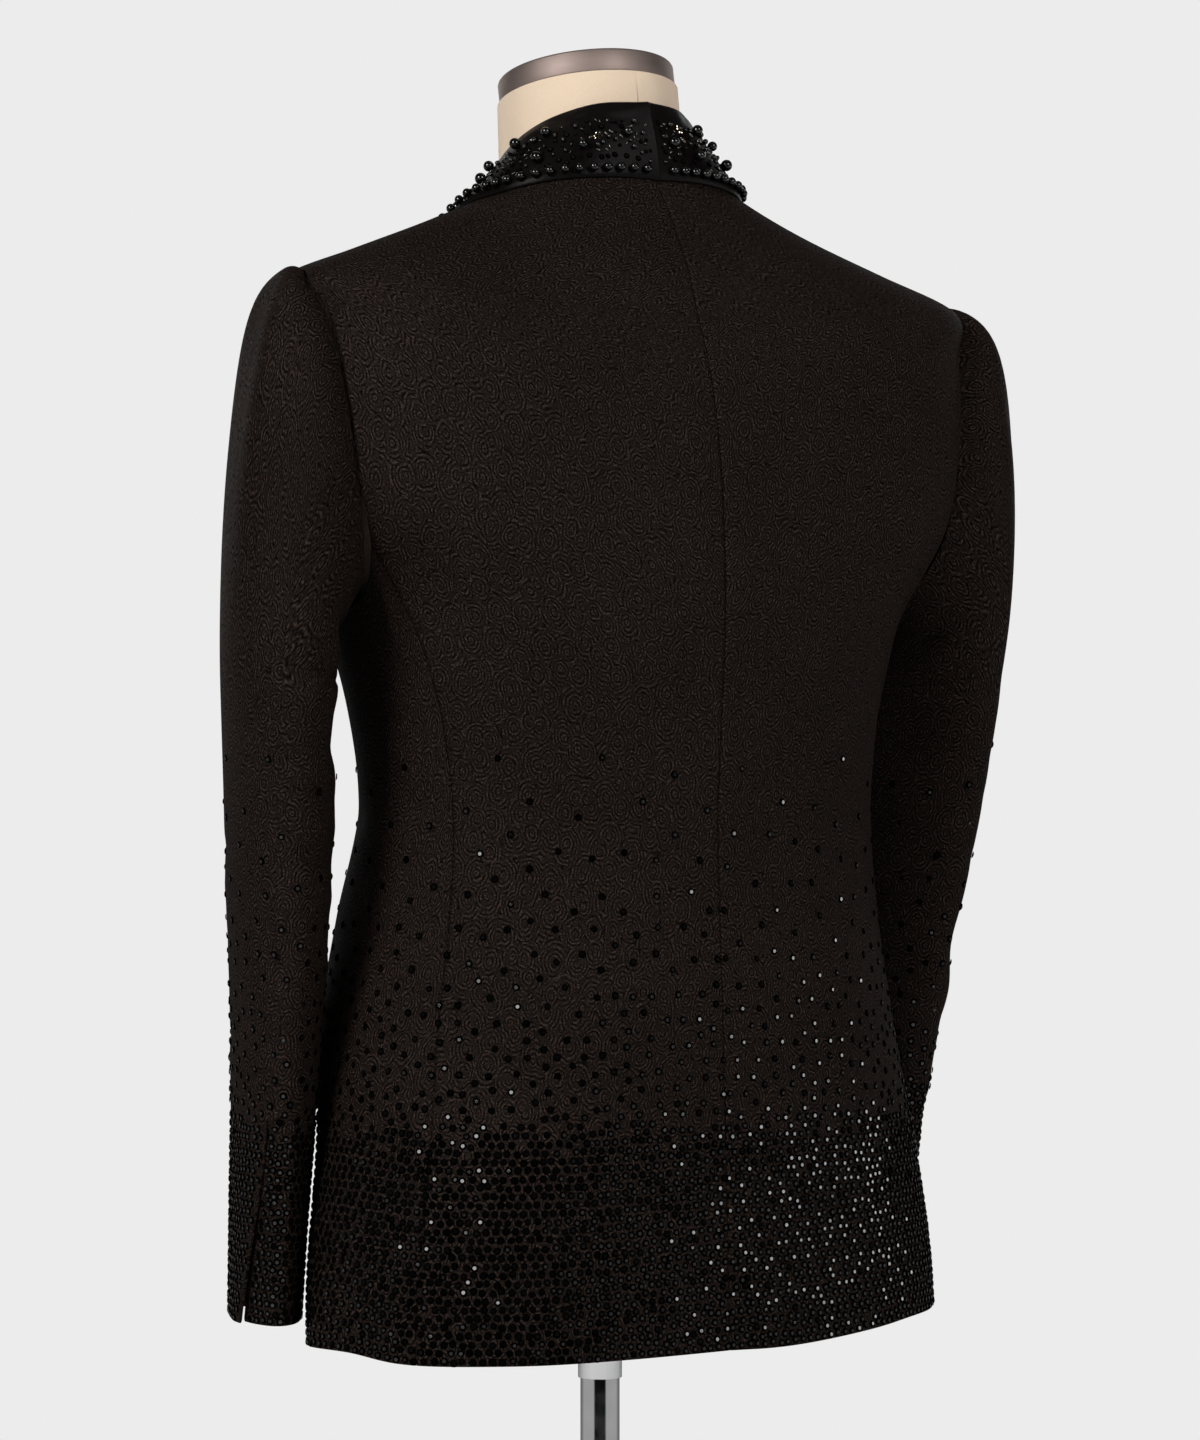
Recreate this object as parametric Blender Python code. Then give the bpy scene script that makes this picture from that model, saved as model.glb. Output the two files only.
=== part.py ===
"""Tuxedo jacket on a dress form stand, in metres, +Z up.

The front faces -Y and the wearer's left is +X. The origin is on the floor, at the middle of the base.
All of the cloth lies on two shapes: a body surface and a sleeve surface. Each is worked out from a short
table of sections, and every panel is a piece of one of them between seam lines, made into a thin wall.
"""
import math

import bmesh
import bpy
import numpy as np

WALL = 0.0018  # coat cloth with what backs it
SATIN_WALL = 0.0016
SEAM_GAP = 0.0003
LAP_GAP = 0.0005  # between cloth that lies on cloth

HEM_LEVEL = 0.786
UNDERARM_LEVEL = 1.236
TIP_LEVEL = 1.446
NECK_LEVEL = 1.530
WAIST_LEVEL = 1.12

# The body surface, one row for each section. "side" is the point of the section at the wearer's side,
# "back" and "front" are its points on the centre lines. Below the chest a section is level, and its level
# is its height. Above, the sections turn over the shoulders and end as the ring of the neck.
BODY_ROWS = (  # level, side_x, side_y, side_z, back_y, back_z, front_y, front_z, back_square, front_square
    (0.770, 0.2195, 0.036, 0.770, 0.1510, 0.770, -0.078, 0.770, 2.12, 2.20),
    (0.815, 0.2172, 0.035, 0.815, 0.1490, 0.815, -0.086, 0.815, 2.14, 2.25),
    (0.914, 0.2025, 0.032, 0.914, 0.1455, 0.914, -0.101, 0.914, 2.14, 2.42),
    (0.984, 0.1922, 0.022, 0.984, 0.1430, 0.984, -0.105, 0.984, 2.10, 2.70),
    (1.047, 0.1815, 0.020, 1.047, 0.1395, 1.047, -0.101, 1.047, 2.10, 2.60),
    (1.120, 0.1757, 0.021, 1.120, 0.1375, 1.120, -0.089, 1.120, 2.10, 2.10),
    (1.170, 0.1800, 0.018, 1.170, 0.1410, 1.170, -0.094, 1.170, 2.15, 2.10),
    (1.236, 0.1960, 0.016, 1.236, 0.1450, 1.236, -0.106, 1.236, 2.30, 2.30),
    (1.300, 0.2290, 0.018, 1.300, 0.1430, 1.300, -0.115, 1.290, 2.70, 2.60),
    (1.350, 0.2370, 0.024, 1.356, 0.1380, 1.345, -0.114, 1.335, 2.80, 2.60),
    (1.400, 0.2385, 0.031, 1.408, 0.1280, 1.388, -0.105, 1.376, 2.70, 2.50),
    (1.446, 0.2345, 0.036, 1.4425, 0.1155, 1.420, -0.094, 1.406, 2.50, 2.40),
    (1.472, 0.1890, 0.028, 1.4600, 0.1030, 1.452, -0.082, 1.430, 2.35, 2.30),
    (1.502, 0.1370, 0.018, 1.4794, 0.0830, 1.486, -0.067, 1.453, 2.25, 2.20),
    (1.530, 0.0880, 0.008, 1.4990, 0.0590, 1.522, -0.050, 1.474, 2.15, 2.15),
)

# How far the hem hangs below HEM_LEVEL, by degrees round the body from the centre back.
HEM_DROPS = ((0, 0.000), (40, 0.003), (62, 0.002), (80, -0.003), (95, -0.003), (140, 0.006), (190, 0.018))
RIGHT_HEM_RISE = 0.0115  # the coat hangs a little higher at its right side, up to RISE_TOP
RISE_TOP = 0.95

# Soft folds of the body cloth: where the middle is, how far it reaches, how far it stands out or in.
BODY_FOLDS = (  # angle, level, angle_reach, level_reach, lean_degrees_per_metre, out
    (52.0, 1.262, 5.0, 0.045, -160.0, -0.0035),
    (44.0, 1.275, 5.0, 0.050, -150.0, 0.0030),
    (14.0, 1.130, 8.0, 0.060, 20.0, -0.0030),
    (33.0, 0.850, 9.0, 0.120, 0.0, 0.0030),
    (74.0, 0.860, 8.0, 0.110, 0.0, -0.0035),
    (96.0, 0.850, 9.0, 0.120, 10.0, 0.0035),
    (128.0, 0.860, 10.0, 0.120, 20.0, -0.0030),
    (150.0, 1.060, 9.0, 0.040, -90.0, -0.0030),
    (124.0, 1.270, 5.0, 0.045, 160.0, -0.0030),
)

SIDE_BACK_SEAM = ((0.770, 58.5), (0.950, 59.5), (1.120, 60.5), (1.190, 62.5), (1.250, 66.0))
SIDE_FRONT_SEAM = ((0.770, 118.0), (1.120, 114.0), (1.250, 109.0))

ARMHOLE_ANGLE = 92.5
ARMHOLE_BACK_REACH = 30.0  # degrees
ARMHOLE_FRONT_REACH = 22.0
ARMHOLE_MIDDLE_LEVEL = 1.312

# The sleeve surface below the cap, one row for each level ring of the left sleeve.
SLEEVE_ROWS = (  # height, x, y, half_width, half_depth
    (1.190, 0.2345, 0.0055, 0.0345, 0.0722),
    (1.120, 0.2295, -0.0030, 0.0330, 0.0695),
    (1.060, 0.2252, -0.0130, 0.0308, 0.0668),
    (1.000, 0.2208, -0.0225, 0.0282, 0.0634),
    (0.927, 0.2178, -0.0335, 0.0252, 0.0606),
    (0.860, 0.2165, -0.0420, 0.0228, 0.0590),
    (0.790, 0.2160, -0.0485, 0.0210, 0.0582),
)
SLEEVE_TURN = math.radians(20.0)  # the back edge of a hanging sleeve stands further out than its front edge
CAP_LOWEST = SLEEVE_ROWS[0][0]
CUFF_HEIGHT = 0.801
VENT_HEIGHT = 0.918
CAP_SHARE = 0.36  # share of the way down a sleeve that the cap takes

SLEEVE_FOLDS = (  # degrees round, way down, degrees of reach, reach down, lean, out
    (95.0, 0.33, 22.0, 0.040, 0.0, -0.0030),
    (60.0, 0.62, 25.0, 0.030, 150.0, -0.0030),
    (75.0, 0.68, 25.0, 0.030, 150.0, 0.0025),
    (20.0, 0.80, 30.0, 0.040, -100.0, -0.0020),
)

HIND_SEAM = ((0.0, 84.0), (0.36, 76.0), (0.60, 68.0), (0.82, 61.0), (1.0, 36.0))  # way down, degrees round
FORE_SEAM = ((0.0, 246.0), (0.36, 236.0), (1.0, 232.0))

# The shawl, one row for each station of its left half, from the centre back to its lower end. The outer edge
# and the roll lie on the body surface, the crest is where the standing part of the collar folds over.
SHAWL_ROWS = (  # edge_angle, edge_level, roll_angle, roll_level, crest_x, crest_y, crest_z, free, stand
    (0.0, 1.5190, 0.0, 1.530, 0.0000, 0.0580, 1.5575, 1.0, 0.0320),
    (30.0, 1.5220, 30.0, 1.530, 0.0335, 0.0445, 1.5555, 1.0, 0.0300),
    (62.0, 1.5265, 60.0, 1.530, 0.0565, 0.0165, 1.5450, 1.0, 0.0240),
    (90.0, 1.5275, 88.0, 1.530, 0.0650, -0.0145, 1.5270, 1.0, 0.0140),
    (116.0, 1.518, 115.0, 1.530, 0.0645, -0.0360, 1.5020, 0.9, 0.0070),
    (136.0, 1.492, 140.0, 1.512, 0.0645, -0.0530, 1.4760, 0.5, 0.0040),
    (146.0, 1.456, 160.0, 1.470, 0.0640, -0.0650, 1.4400, 0.0, 0.0035),
    (149.0, 1.410, 166.5, 1.410, 0.0580, -0.0900, 1.3900, 0.0, 0.0035),
    (147.0, 1.350, 168.5, 1.350, 0.0500, -0.1000, 1.3400, 0.0, 0.0035),
    (144.0, 1.290, 170.0, 1.290, 0.0500, -0.1000, 1.3000, 0.0, 0.0035),
    (143.0, 1.230, 171.5, 1.230, 0.0500, -0.1000, 1.2000, 0.0, 0.0035),
    (148.0, 1.170, 174.0, 1.165, 0.0500, -0.1000, 1.1000, 0.0, 0.0035),
    (158.5, 1.115, 175.8, 1.110, 0.0500, -0.1000, 1.1000, 0.0, 0.0035),
    (171.0, 1.072, 177.6, 1.070, 0.0500, -0.1000, 1.0000, 0.0, 0.0035),
)

# The dress form: how far its surface lies inside the coat's wall, at the side and at the centre lines.
FORM_ROWS = (  # level, side_ease, centre_ease
    (0.842, 0.0300, 0.0200),
    (0.914, 0.0200, 0.0160),
    (0.984, 0.0160, 0.0150),
    (1.047, 0.0150, 0.0140),
    (1.120, 0.0150, 0.0130),
    (1.170, 0.0150, 0.0120),
    (1.236, 0.0190, 0.0110),
    (1.300, 0.0380, 0.0100),
    (1.350, 0.0400, 0.0090),
    (1.400, 0.0340, 0.0080),
    (1.434, 0.0160, 0.0070),
    (1.450, 0.0030, 0.0060),
    (1.462, 0.0004, 0.0060),
    (1.478, 0.0004, 0.0060),
    (1.494, 0.0004, 0.0060),
    (1.512, 0.0004, 0.0060),
    (1.529, 0.0012, 0.0070),
)

NECK_CENTRE_Y = -0.0150
NECK_RADIUS = 0.0580
NECK_TOP = 1.5692
NECK_TILT = math.radians(11.0)
NECK_SIDES = 32
FORM_BOTTOM = 0.836
NECK_ROWS_OF_FORM = ((1.5085, 0.0610, 20.0), (1.5300, 0.0592, 16.0), (NECK_TOP, NECK_RADIUS, 11.0))
CAP_RADIUS = 0.0564
CAP_HEIGHT = 0.0150
CAP_EDGE = 0.0015

POLE_RADIUS = 0.0125
FERRULE_RADIUS = 0.0140
FERRULE_BOTTOM = 0.7536
FERRULE_BORE = POLE_RADIUS + SEAM_GAP
BOSS_TOP = 0.034
BASE_PROFILE = (  # radius, height
    (0.1590, 0.000), (0.1600, 0.001), (0.1600, 0.006), (0.1560, 0.009), (0.0800, 0.012),
    (0.0260, 0.013), (0.0240, 0.031), (0.0210, BOSS_TOP),
)
ROUND_SIDES = 28
BASE_SIDES = 40

BUTTON_LEVEL = 1.034
BUTTON_RADIUS = 0.0105
BUTTON_SETTLE = 0.0009  # flat facets of the front lie this much inside its true surface
BUTTON_PROFILE = (  # share of the radius, height
    (0.35, 0.0), (0.35, 0.0012), (0.94, 0.0013), (1.0, 0.0022), (0.93, 0.0034), (0.62, 0.0045),
)
BUTTON_SIDES = 20


def smooth_rows(rows, at):
    """Values of a table at a place in its first column, on a smooth curve through its rows."""
    table = np.array(rows, dtype=float)
    places, values = table[:, 0], table[:, 1:]
    steps = np.diff(places)[:, None]
    slopes = np.diff(values, axis=0) / steps
    tangents = np.empty_like(values)
    tangents[0], tangents[-1] = slopes[0], slopes[-1]
    tangents[1:-1] = (slopes[:-1] * steps[1:] + slopes[1:] * steps[:-1]) / (steps[:-1] + steps[1:])
    at = np.clip(np.asarray(at, dtype=float), places[0], places[-1])
    index = np.clip(np.searchsorted(places, at) - 1, 0, len(places) - 2)
    step = steps[index, 0]
    share = ((at - places[index]) / step)[..., None]
    step = step[..., None]
    return (
        values[index] * (2 * share**3 - 3 * share**2 + 1)
        + values[index + 1] * (3 * share**2 - 2 * share**3)
        + tangents[index] * step * (share**3 - 2 * share**2 + share)
        + tangents[index + 1] * step * (share**3 - share**2)
    )


def smooth_value(rows, at):
    return smooth_rows(rows, at)[..., 0]


def unit(vectors):
    return vectors / np.linalg.norm(vectors, axis=-1, keepdims=True)


def soft_step(value, low, high):
    share = np.clip((value - low) / (high - low), 0.0, 1.0)
    return share * share * (3 - 2 * share)


def section_point(angle_degrees, section):
    """Point of a rounded section: 0 degrees is the centre back, 90 the side, 180 the centre front."""
    columns = np.moveaxis(section, -1, 0)
    side_x, side_y, side_z, back_y, back_z, front_y, front_z, back_square, front_square = columns
    angle = np.radians(angle_degrees)
    across, along = np.sin(angle), np.cos(angle)
    squareness = np.where(along > 0, back_square, front_square)
    size = (np.abs(across) ** squareness + np.abs(along) ** squareness) ** (1 / squareness)
    across, along = across / size, along / size
    depth = np.where(along > 0, back_y - side_y, side_y - front_y)
    centre_z = np.where(along > 0, back_z, front_z)
    height = centre_z + (side_z - centre_z) * across**2
    return np.stack([side_x * across, side_y + depth * along, height], axis=-1)


def body_plain(angle, level):
    angle, level = np.broadcast_arrays(np.asarray(angle, float), np.asarray(level, float))
    points = section_point(angle, smooth_rows(BODY_ROWS, level))
    drop = smooth_value(HEM_DROPS, np.abs(angle)) * (1 - soft_step(level, HEM_LEVEL, WAIST_LEVEL))
    points[..., 2] -= drop
    return points


def surface_normal(surface, first, second, first_step, second_step):
    """Outward normal of a surface of two values, from points a small step to each side."""
    along_first = surface(first + first_step, second) - surface(first - first_step, second)
    along_second = surface(first, second + second_step) - surface(first, second - second_step)
    return -unit(np.cross(along_first, along_second))


def body_normal(angle, level):
    inside = np.clip(level, BODY_ROWS[0][0] + 0.001, NECK_LEVEL - 0.001)
    return surface_normal(body_plain, angle, inside, 0.4, 0.001)


def fold_height(rows, angle, level):
    total = np.zeros(np.broadcast(angle, level).shape)
    for middle_angle, middle_level, angle_reach, level_reach, lean, out in rows:
        away = (angle - middle_angle - lean * (level - middle_level)) / angle_reach
        along = (level - middle_level) / level_reach
        total = total + out * np.exp(-(away**2) - along**2)
    return total


def body_point(angle, level, out=0.0):
    """Point of the coat's outer surface, moved outward by "out"."""
    angle, level = np.broadcast_arrays(np.asarray(angle, float), np.asarray(level, float))
    normal = body_normal(angle, level)
    lift = fold_height(BODY_FOLDS, angle, level) + out
    return body_plain(angle, level) + normal * lift[..., None]


def armhole_angle(level, back):
    """Where the armhole seam crosses a level, on the back or on the front of the arm."""
    reach = ARMHOLE_BACK_REACH if back else ARMHOLE_FRONT_REACH
    above = (level - ARMHOLE_MIDDLE_LEVEL) / (TIP_LEVEL - ARMHOLE_MIDDLE_LEVEL)
    below = (ARMHOLE_MIDDLE_LEVEL - level) / (ARMHOLE_MIDDLE_LEVEL - UNDERARM_LEVEL)
    share = np.clip(np.where(above > 0, above, below), 0.0, 1.0)
    width = reach * (1 - share**2.0) ** 0.5
    middle = ARMHOLE_ANGLE + (90.0 - ARMHOLE_ANGLE) * np.clip(above, 0.0, 1.0)
    return middle - width if back else middle + width


def armhole_level(angle):
    """Level of the underarm part of the armhole seam."""
    reach = np.where(angle < ARMHOLE_ANGLE, ARMHOLE_BACK_REACH, ARMHOLE_FRONT_REACH)
    share = np.clip(np.abs(angle - ARMHOLE_ANGLE) / reach, 0.0, 1.0)
    return ARMHOLE_MIDDLE_LEVEL - (ARMHOLE_MIDDLE_LEVEL - UNDERARM_LEVEL) * (1 - share**2) ** 0.5


def armhole_loop(turn_degrees):
    """Angle and level of the armhole seam: 0 degrees is the shoulder tip, 90 the back, 180 the underarm."""
    turn = np.radians(turn_degrees)
    upper = np.cos(turn) > 0
    height = np.where(upper, TIP_LEVEL - ARMHOLE_MIDDLE_LEVEL, ARMHOLE_MIDDLE_LEVEL - UNDERARM_LEVEL)
    level = ARMHOLE_MIDDLE_LEVEL + height * np.cos(turn)
    above = np.clip(np.cos(turn), 0.0, 1.0)
    middle = ARMHOLE_ANGLE + (90.0 - ARMHOLE_ANGLE) * above
    reach = np.where(np.sin(turn) > 0, ARMHOLE_BACK_REACH, ARMHOLE_FRONT_REACH)
    return middle - reach * np.sin(turn), level


def seam_meets_armhole(seam, back):
    """Level at which a lengthwise seam of the body runs into the armhole."""
    levels = np.linspace(UNDERARM_LEVEL, ARMHOLE_MIDDLE_LEVEL, 200)
    apart = smooth_value(seam, levels) - armhole_angle(levels, back)
    crossed = apart > 0 if back else apart < 0
    return levels[np.argmax(crossed)]


def pull_back(grid, edge, gap):
    """Moves one edge of a grid of points towards its inside, which opens a seam."""
    grid = grid.copy()
    last, second = {"first_row": (0, 1), "last_row": (-1, -2)}.get(edge, (None, None))
    if last is not None:
        grid[last] += unit(grid[second] - grid[last]) * gap
        return grid
    last, second = (0, 1) if edge == "first_column" else (-1, -2)
    grid[:, last] += unit(grid[:, second] - grid[:, last]) * gap
    return grid


# ---- meshes and materials ---------------------------------------------------------------------------------


def make_material(name, colour, roughness, metallic=0.0):
    material = bpy.data.materials.new(name)
    material.use_nodes = True
    shader = material.node_tree.nodes["Principled BSDF"]
    shader.inputs["Base Color"].default_value = (*colour, 1.0)
    shader.inputs["Roughness"].default_value = roughness
    shader.inputs["Metallic"].default_value = metallic
    return material


def make_object(name, points, faces, material, smooth=True):
    """One closed body with its faces pointing out."""
    mesh = bpy.data.meshes.new(name)
    mesh.from_pydata([tuple(point) for point in points], [], faces)
    shell = bmesh.new()
    shell.from_mesh(mesh)
    bmesh.ops.recalc_face_normals(shell, faces=shell.faces)
    if shell.calc_volume(signed=True) < 0:
        bmesh.ops.reverse_faces(shell, faces=shell.faces)
    shell.to_mesh(mesh)
    shell.free()
    mesh.materials.append(material)
    if smooth:
        mesh.shade_smooth()
        mesh.set_sharp_from_angle(angle=math.radians(40))
    piece = bpy.data.objects.new(name, mesh)
    bpy.context.scene.collection.objects.link(piece)
    return piece


def grid_faces(rows, columns, start=0):
    return [
        (start + r * columns + c, start + r * columns + c + 1, start + (r + 1) * columns + c + 1,
         start + (r + 1) * columns + c)
        for r in range(rows - 1)
        for c in range(columns - 1)
    ]


def rim_of_grid(rows, columns, start=0):
    """Point numbers once round the edge of a grid."""
    top = [c for c in range(columns)]
    right = [r * columns + columns - 1 for r in range(1, rows)]
    bottom = [(rows - 1) * columns + c for c in range(columns - 2, -1, -1)]
    left = [r * columns for r in range(rows - 2, 0, -1)]
    return [start + number for number in top + right + bottom + left]


def make_wall(name, outer, inner, material):
    """A thin closed wall between two grids of points of the same size."""
    rows, columns, _ = outer.shape
    count = rows * columns
    points = np.concatenate([outer.reshape(-1, 3), inner.reshape(-1, 3)])
    faces = grid_faces(rows, columns) + [face[::-1] for face in grid_faces(rows, columns, count)]
    outer_rim, inner_rim = rim_of_grid(rows, columns), rim_of_grid(rows, columns, count)
    for here in range(len(outer_rim)):
        there = (here + 1) % len(outer_rim)
        faces.append((outer_rim[there], outer_rim[here], inner_rim[here], inner_rim[there]))
    return make_object(name, points, faces, material)


def make_lathe_stack(name, rings, material, smooth=True):
    """A closed body through rings of points, with a flat face on the first and the last ring."""
    rings = np.array(rings)
    count, sides, _ = rings.shape
    faces = []
    for ring in range(count - 1):
        for side in range(sides):
            after = (side + 1) % sides
            faces.append((ring * sides + side, ring * sides + after, (ring + 1) * sides + after,
                          (ring + 1) * sides + side))
    faces.append(tuple(range(sides))[::-1])
    faces.append(tuple((count - 1) * sides + side for side in range(sides)))
    return make_object(name, rings.reshape(-1, 3), faces, material, smooth)


def mirrored(points, side):
    """The left half of the coat is worked out, and the right half is its mirror image."""
    return points * np.array([side, 1.0, 1.0])


def hung(points, side):
    """A body panel on its side, with the right side's hem a little higher."""
    points = mirrored(points, side)
    if side < 0:
        low = 1 - soft_step(points[..., 2], HEM_LEVEL, RISE_TOP)
        points[..., 2] += RIGHT_HEM_RISE * low * soft_step(-points[..., 0], 0.02, 0.18)
    return points


# ---- body panels ------------------------------------------------------------------------------------------


def body_wall(name, side, angles, levels, edges, material, out=0.0):
    outer = body_point(angles, levels, out)
    inner = body_point(angles, levels, out - WALL)
    for edge in edges:
        outer, inner = pull_back(outer, edge, SEAM_GAP / 2), pull_back(inner, edge, SEAM_GAP / 2)
    return make_wall(name, hung(outer, side), hung(inner, side), material)


# Shares of the way up, the same on both sides of each lengthwise seam: hem to armhole, then armhole to shoulder.
LOWER_SHARES = np.array([0.0, 0.012, 0.05, 0.12, 0.22, 0.34, 0.46, 0.58, 0.70, 0.80, 0.90, 1.0])
UPPER_SHARES = np.array([0.13, 0.27, 0.42, 0.57, 0.71, 0.83, 0.92, 0.975, 1.0])
NECK_ROWS = 5


def panel_levels(turning_level):
    """Levels of a panel's rows, closer where the armhole turns over to the shoulder."""
    lower = HEM_LEVEL + LOWER_SHARES * (turning_level - HEM_LEVEL)
    upper = turning_level + UPPER_SHARES * (TIP_LEVEL - turning_level)
    neck = np.linspace(TIP_LEVEL, NECK_LEVEL, NECK_ROWS + 1)[1:]
    return np.concatenate([lower, upper, neck])


def outer_seam_angle(levels, seam, back):
    """A panel's outer edge: its lengthwise seam, then the armhole, then the shoulder seam."""
    meeting = seam_meets_armhole(seam, back)
    on_seam = smooth_value(seam, levels)
    on_armhole = armhole_angle(levels, back)
    on_armhole = np.where(levels >= TIP_LEVEL, 90.0, on_armhole)
    return np.where(levels <= meeting, on_seam, on_armhole)


def make_back(side, name, material):
    levels = panel_levels(seam_meets_armhole(SIDE_BACK_SEAM, True))
    outer_edge = outer_seam_angle(levels, SIDE_BACK_SEAM, True)
    across = np.linspace(0.0, 1.0, 8)
    angles = outer_edge[:, None] * across[None, :]
    rows = np.repeat(levels[:, None], len(across), axis=1)
    return body_wall(name, side, angles, rows, ("first_column", "last_column"), material)


def make_side(side, name, material):
    start = seam_meets_armhole(SIDE_BACK_SEAM, True)
    end = seam_meets_armhole(SIDE_FRONT_SEAM, False)
    columns, up = np.linspace(0.0, 1.0, 9), LOWER_SHARES
    back_angle, front_angle = smooth_value(SIDE_BACK_SEAM, start), smooth_value(SIDE_FRONT_SEAM, end)
    top_angle = back_angle + (front_angle - back_angle) * columns
    top_level = armhole_level(top_angle)
    top_level[0], top_level[-1] = start, end
    levels = HEM_LEVEL + (top_level[None, :] - HEM_LEVEL) * up[:, None]
    back_seam, front_seam = smooth_value(SIDE_BACK_SEAM, levels), smooth_value(SIDE_FRONT_SEAM, levels)
    angles = back_seam + (front_seam - back_seam) * columns[None, :]
    return body_wall(name, side, angles, levels, ("first_column", "last_column", "last_row"), material)


FRONT_OVERLAP = 6.0  # degrees past the centre front
CLOSING_LEVEL = 1.042  # the fronts lie over each other up to here
CUTAWAY_START = 0.960
CUTAWAY_ANGLE = 149.0  # where the rounded front edge reaches the hem
ROLL_SETBACK = 5.5  # degrees from the roll to the edge of the front's cloth under it
CLOSING_LIFT = 0.0027  # the left front lies over the right


def front_edge_angle(levels):
    """The front edge: rounded at the hem, straight to the break, then close under the roll of the lapel."""
    down = np.clip((CUTAWAY_START - levels) / (CUTAWAY_START - HEM_LEVEL), 0.0, 1.0)
    closed = 180.0 + FRONT_OVERLAP
    lower = CUTAWAY_ANGLE + (closed - CUTAWAY_ANGLE) * (1 - down**2.4) ** (1 / 2.4)
    roll = [(row[3], row[2] - ROLL_SETBACK) for row in reversed(SHAWL_ROWS) if row[3] < NECK_LEVEL]
    roll = [(CLOSING_LEVEL, closed)] + roll + [(NECK_LEVEL, 116.0)]
    upper = smooth_value(roll, levels)
    return np.where(levels < CLOSING_LEVEL, lower, upper)


def closing_lift(angle, level, side):
    """How far the left front stands off the body where it lies over the right one."""
    if side < 0:
        return np.zeros(np.broadcast(angle, level).shape)
    return CLOSING_LIFT * soft_step(angle, 160.0, 172.0) * (1 - soft_step(level, 1.10, 1.24))


def make_front(side, name, material):
    meeting = seam_meets_armhole(SIDE_FRONT_SEAM, False)
    levels = panel_levels(meeting)
    start = outer_seam_angle(levels, SIDE_FRONT_SEAM, False)
    end = front_edge_angle(levels)
    across = np.linspace(0.0, 1.0, 9)
    angles = start[:, None] + (end - start)[:, None] * across[None, :]
    rows = np.repeat(levels[:, None], len(across), axis=1)
    lift = closing_lift(angles, rows, side)
    return body_wall(name, side, angles, rows, ("first_column",), material, lift)


# ---- sleeves ----------------------------------------------------------------------------------------------


def sleeve_ring_point(turn_degrees, height):
    centre_x, centre_y, half_width, half_depth = np.moveaxis(
        smooth_rows(SLEEVE_ROWS[::-1], height), -1, 0)
    turn = np.radians(turn_degrees)
    outward, back = half_width * np.cos(turn), half_depth * np.sin(turn)
    x = centre_x + outward * math.cos(SLEEVE_TURN) + back * math.sin(SLEEVE_TURN)
    y = centre_y - outward * math.sin(SLEEVE_TURN) + back * math.cos(SLEEVE_TURN)
    return np.stack([x, y, np.broadcast_to(height, x.shape)], axis=-1)


SLEEVE_INSET = 0.0011
CAP_SWING = 0.0075  # how far back the head of the sleeve sits
LEAVING_EVERYWHERE = (1.0, 0.20, 0.0)  # the way in which the sleeve leaves the armhole
LEAVING_BY_PLACE = (
    (0.0, 0.00, 0.42),  # at the top
    (0.0, 0.00, -0.60),  # away from the top
    (0.0, 0.00, -0.55),  # at the underarm
    (0.0, 0.40, 0.00),  # at the back
    (0.0, -0.10, -0.35),  # at the front
)
HEAD_FULLNESS = 0.044
HEAD_REACH = 0.45
HEAD_REACH_LOST_AHEAD = 0.26
HEAD_ARRIVAL = 1.15


def sleeve_start(turn_degrees):
    """Where the sleeve leaves the armhole seam: just inside it, and at the underarm just outside the cloth."""
    angle, level = armhole_loop(turn_degrees)
    seam = body_plain(angle, level)
    normal = body_normal(angle, level)
    middle = body_plain(np.array(ARMHOLE_ANGLE), np.array(1.345))
    towards_middle = middle - seam
    towards_middle = unit(towards_middle - normal * np.sum(towards_middle * normal, axis=-1, keepdims=True))
    under = soft_step(-np.cos(np.radians(turn_degrees)), -0.1, 0.6)[..., None]
    return seam + towards_middle * (SLEEVE_INSET + 0.0008 * under) + normal * (0.0001 + 0.0024 * under)


def sleeve_plain(turn_degrees, down):
    """Point of the left sleeve: turn 0 is its outside, 90 its back; down goes from 0 at the seam to 1."""
    turn_degrees, down = np.broadcast_arrays(np.asarray(turn_degrees, float), np.asarray(down, float))
    turn = np.radians(turn_degrees)
    height = CAP_LOWEST + (CUFF_HEIGHT - CAP_LOWEST) * np.clip((down - CAP_SHARE) / (1 - CAP_SHARE), 0.0, None)
    ring = sleeve_ring_point(turn_degrees, height)
    start = sleeve_start(turn_degrees)
    end = sleeve_ring_point(turn_degrees, np.full(turn.shape, CAP_LOWEST))
    below = sleeve_ring_point(turn_degrees, np.full(turn.shape, CAP_LOWEST - 0.01))
    up_share = np.clip(np.cos(turn), 0.0, 1.0)
    under_share = np.clip(-np.cos(turn), 0.0, 1.0)
    behind = np.clip(np.sin(turn), 0.0, 1.0)
    ahead = np.clip(-np.sin(turn), 0.0, 1.0)
    shares = np.stack([up_share, 1 - up_share, under_share, behind, ahead], axis=-1)
    leave = unit(np.array(LEAVING_EVERYWHERE) + shares @ np.array(LEAVING_BY_PLACE))
    reach = np.linalg.norm(end - start, axis=-1, keepdims=True)
    leaving = leave * (HEAD_FULLNESS + (HEAD_REACH - HEAD_REACH_LOST_AHEAD * ahead[..., None]) * reach)
    arriving = unit(below - end) * reach * HEAD_ARRIVAL
    share = np.clip(down / CAP_SHARE, 0.0, 1.0)[..., None]
    cap = (
        start * (2 * share**3 - 3 * share**2 + 1)
        + end * (3 * share**2 - 2 * share**3)
        + leaving * (share**3 - 2 * share**2 + share)
        + arriving * (share**3 - share**2)
    )
    cap[..., 1:2] += CAP_SWING * up_share[..., None] * 6.75 * share * (1 - share) ** 2
    return np.where((down < CAP_SHARE)[..., None], cap, ring)


def sleeve_normal(turn, down):
    inside = np.clip(down, 0.006, 1.0)
    return surface_normal(sleeve_plain, turn, inside, 0.5, 0.005)


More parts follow.
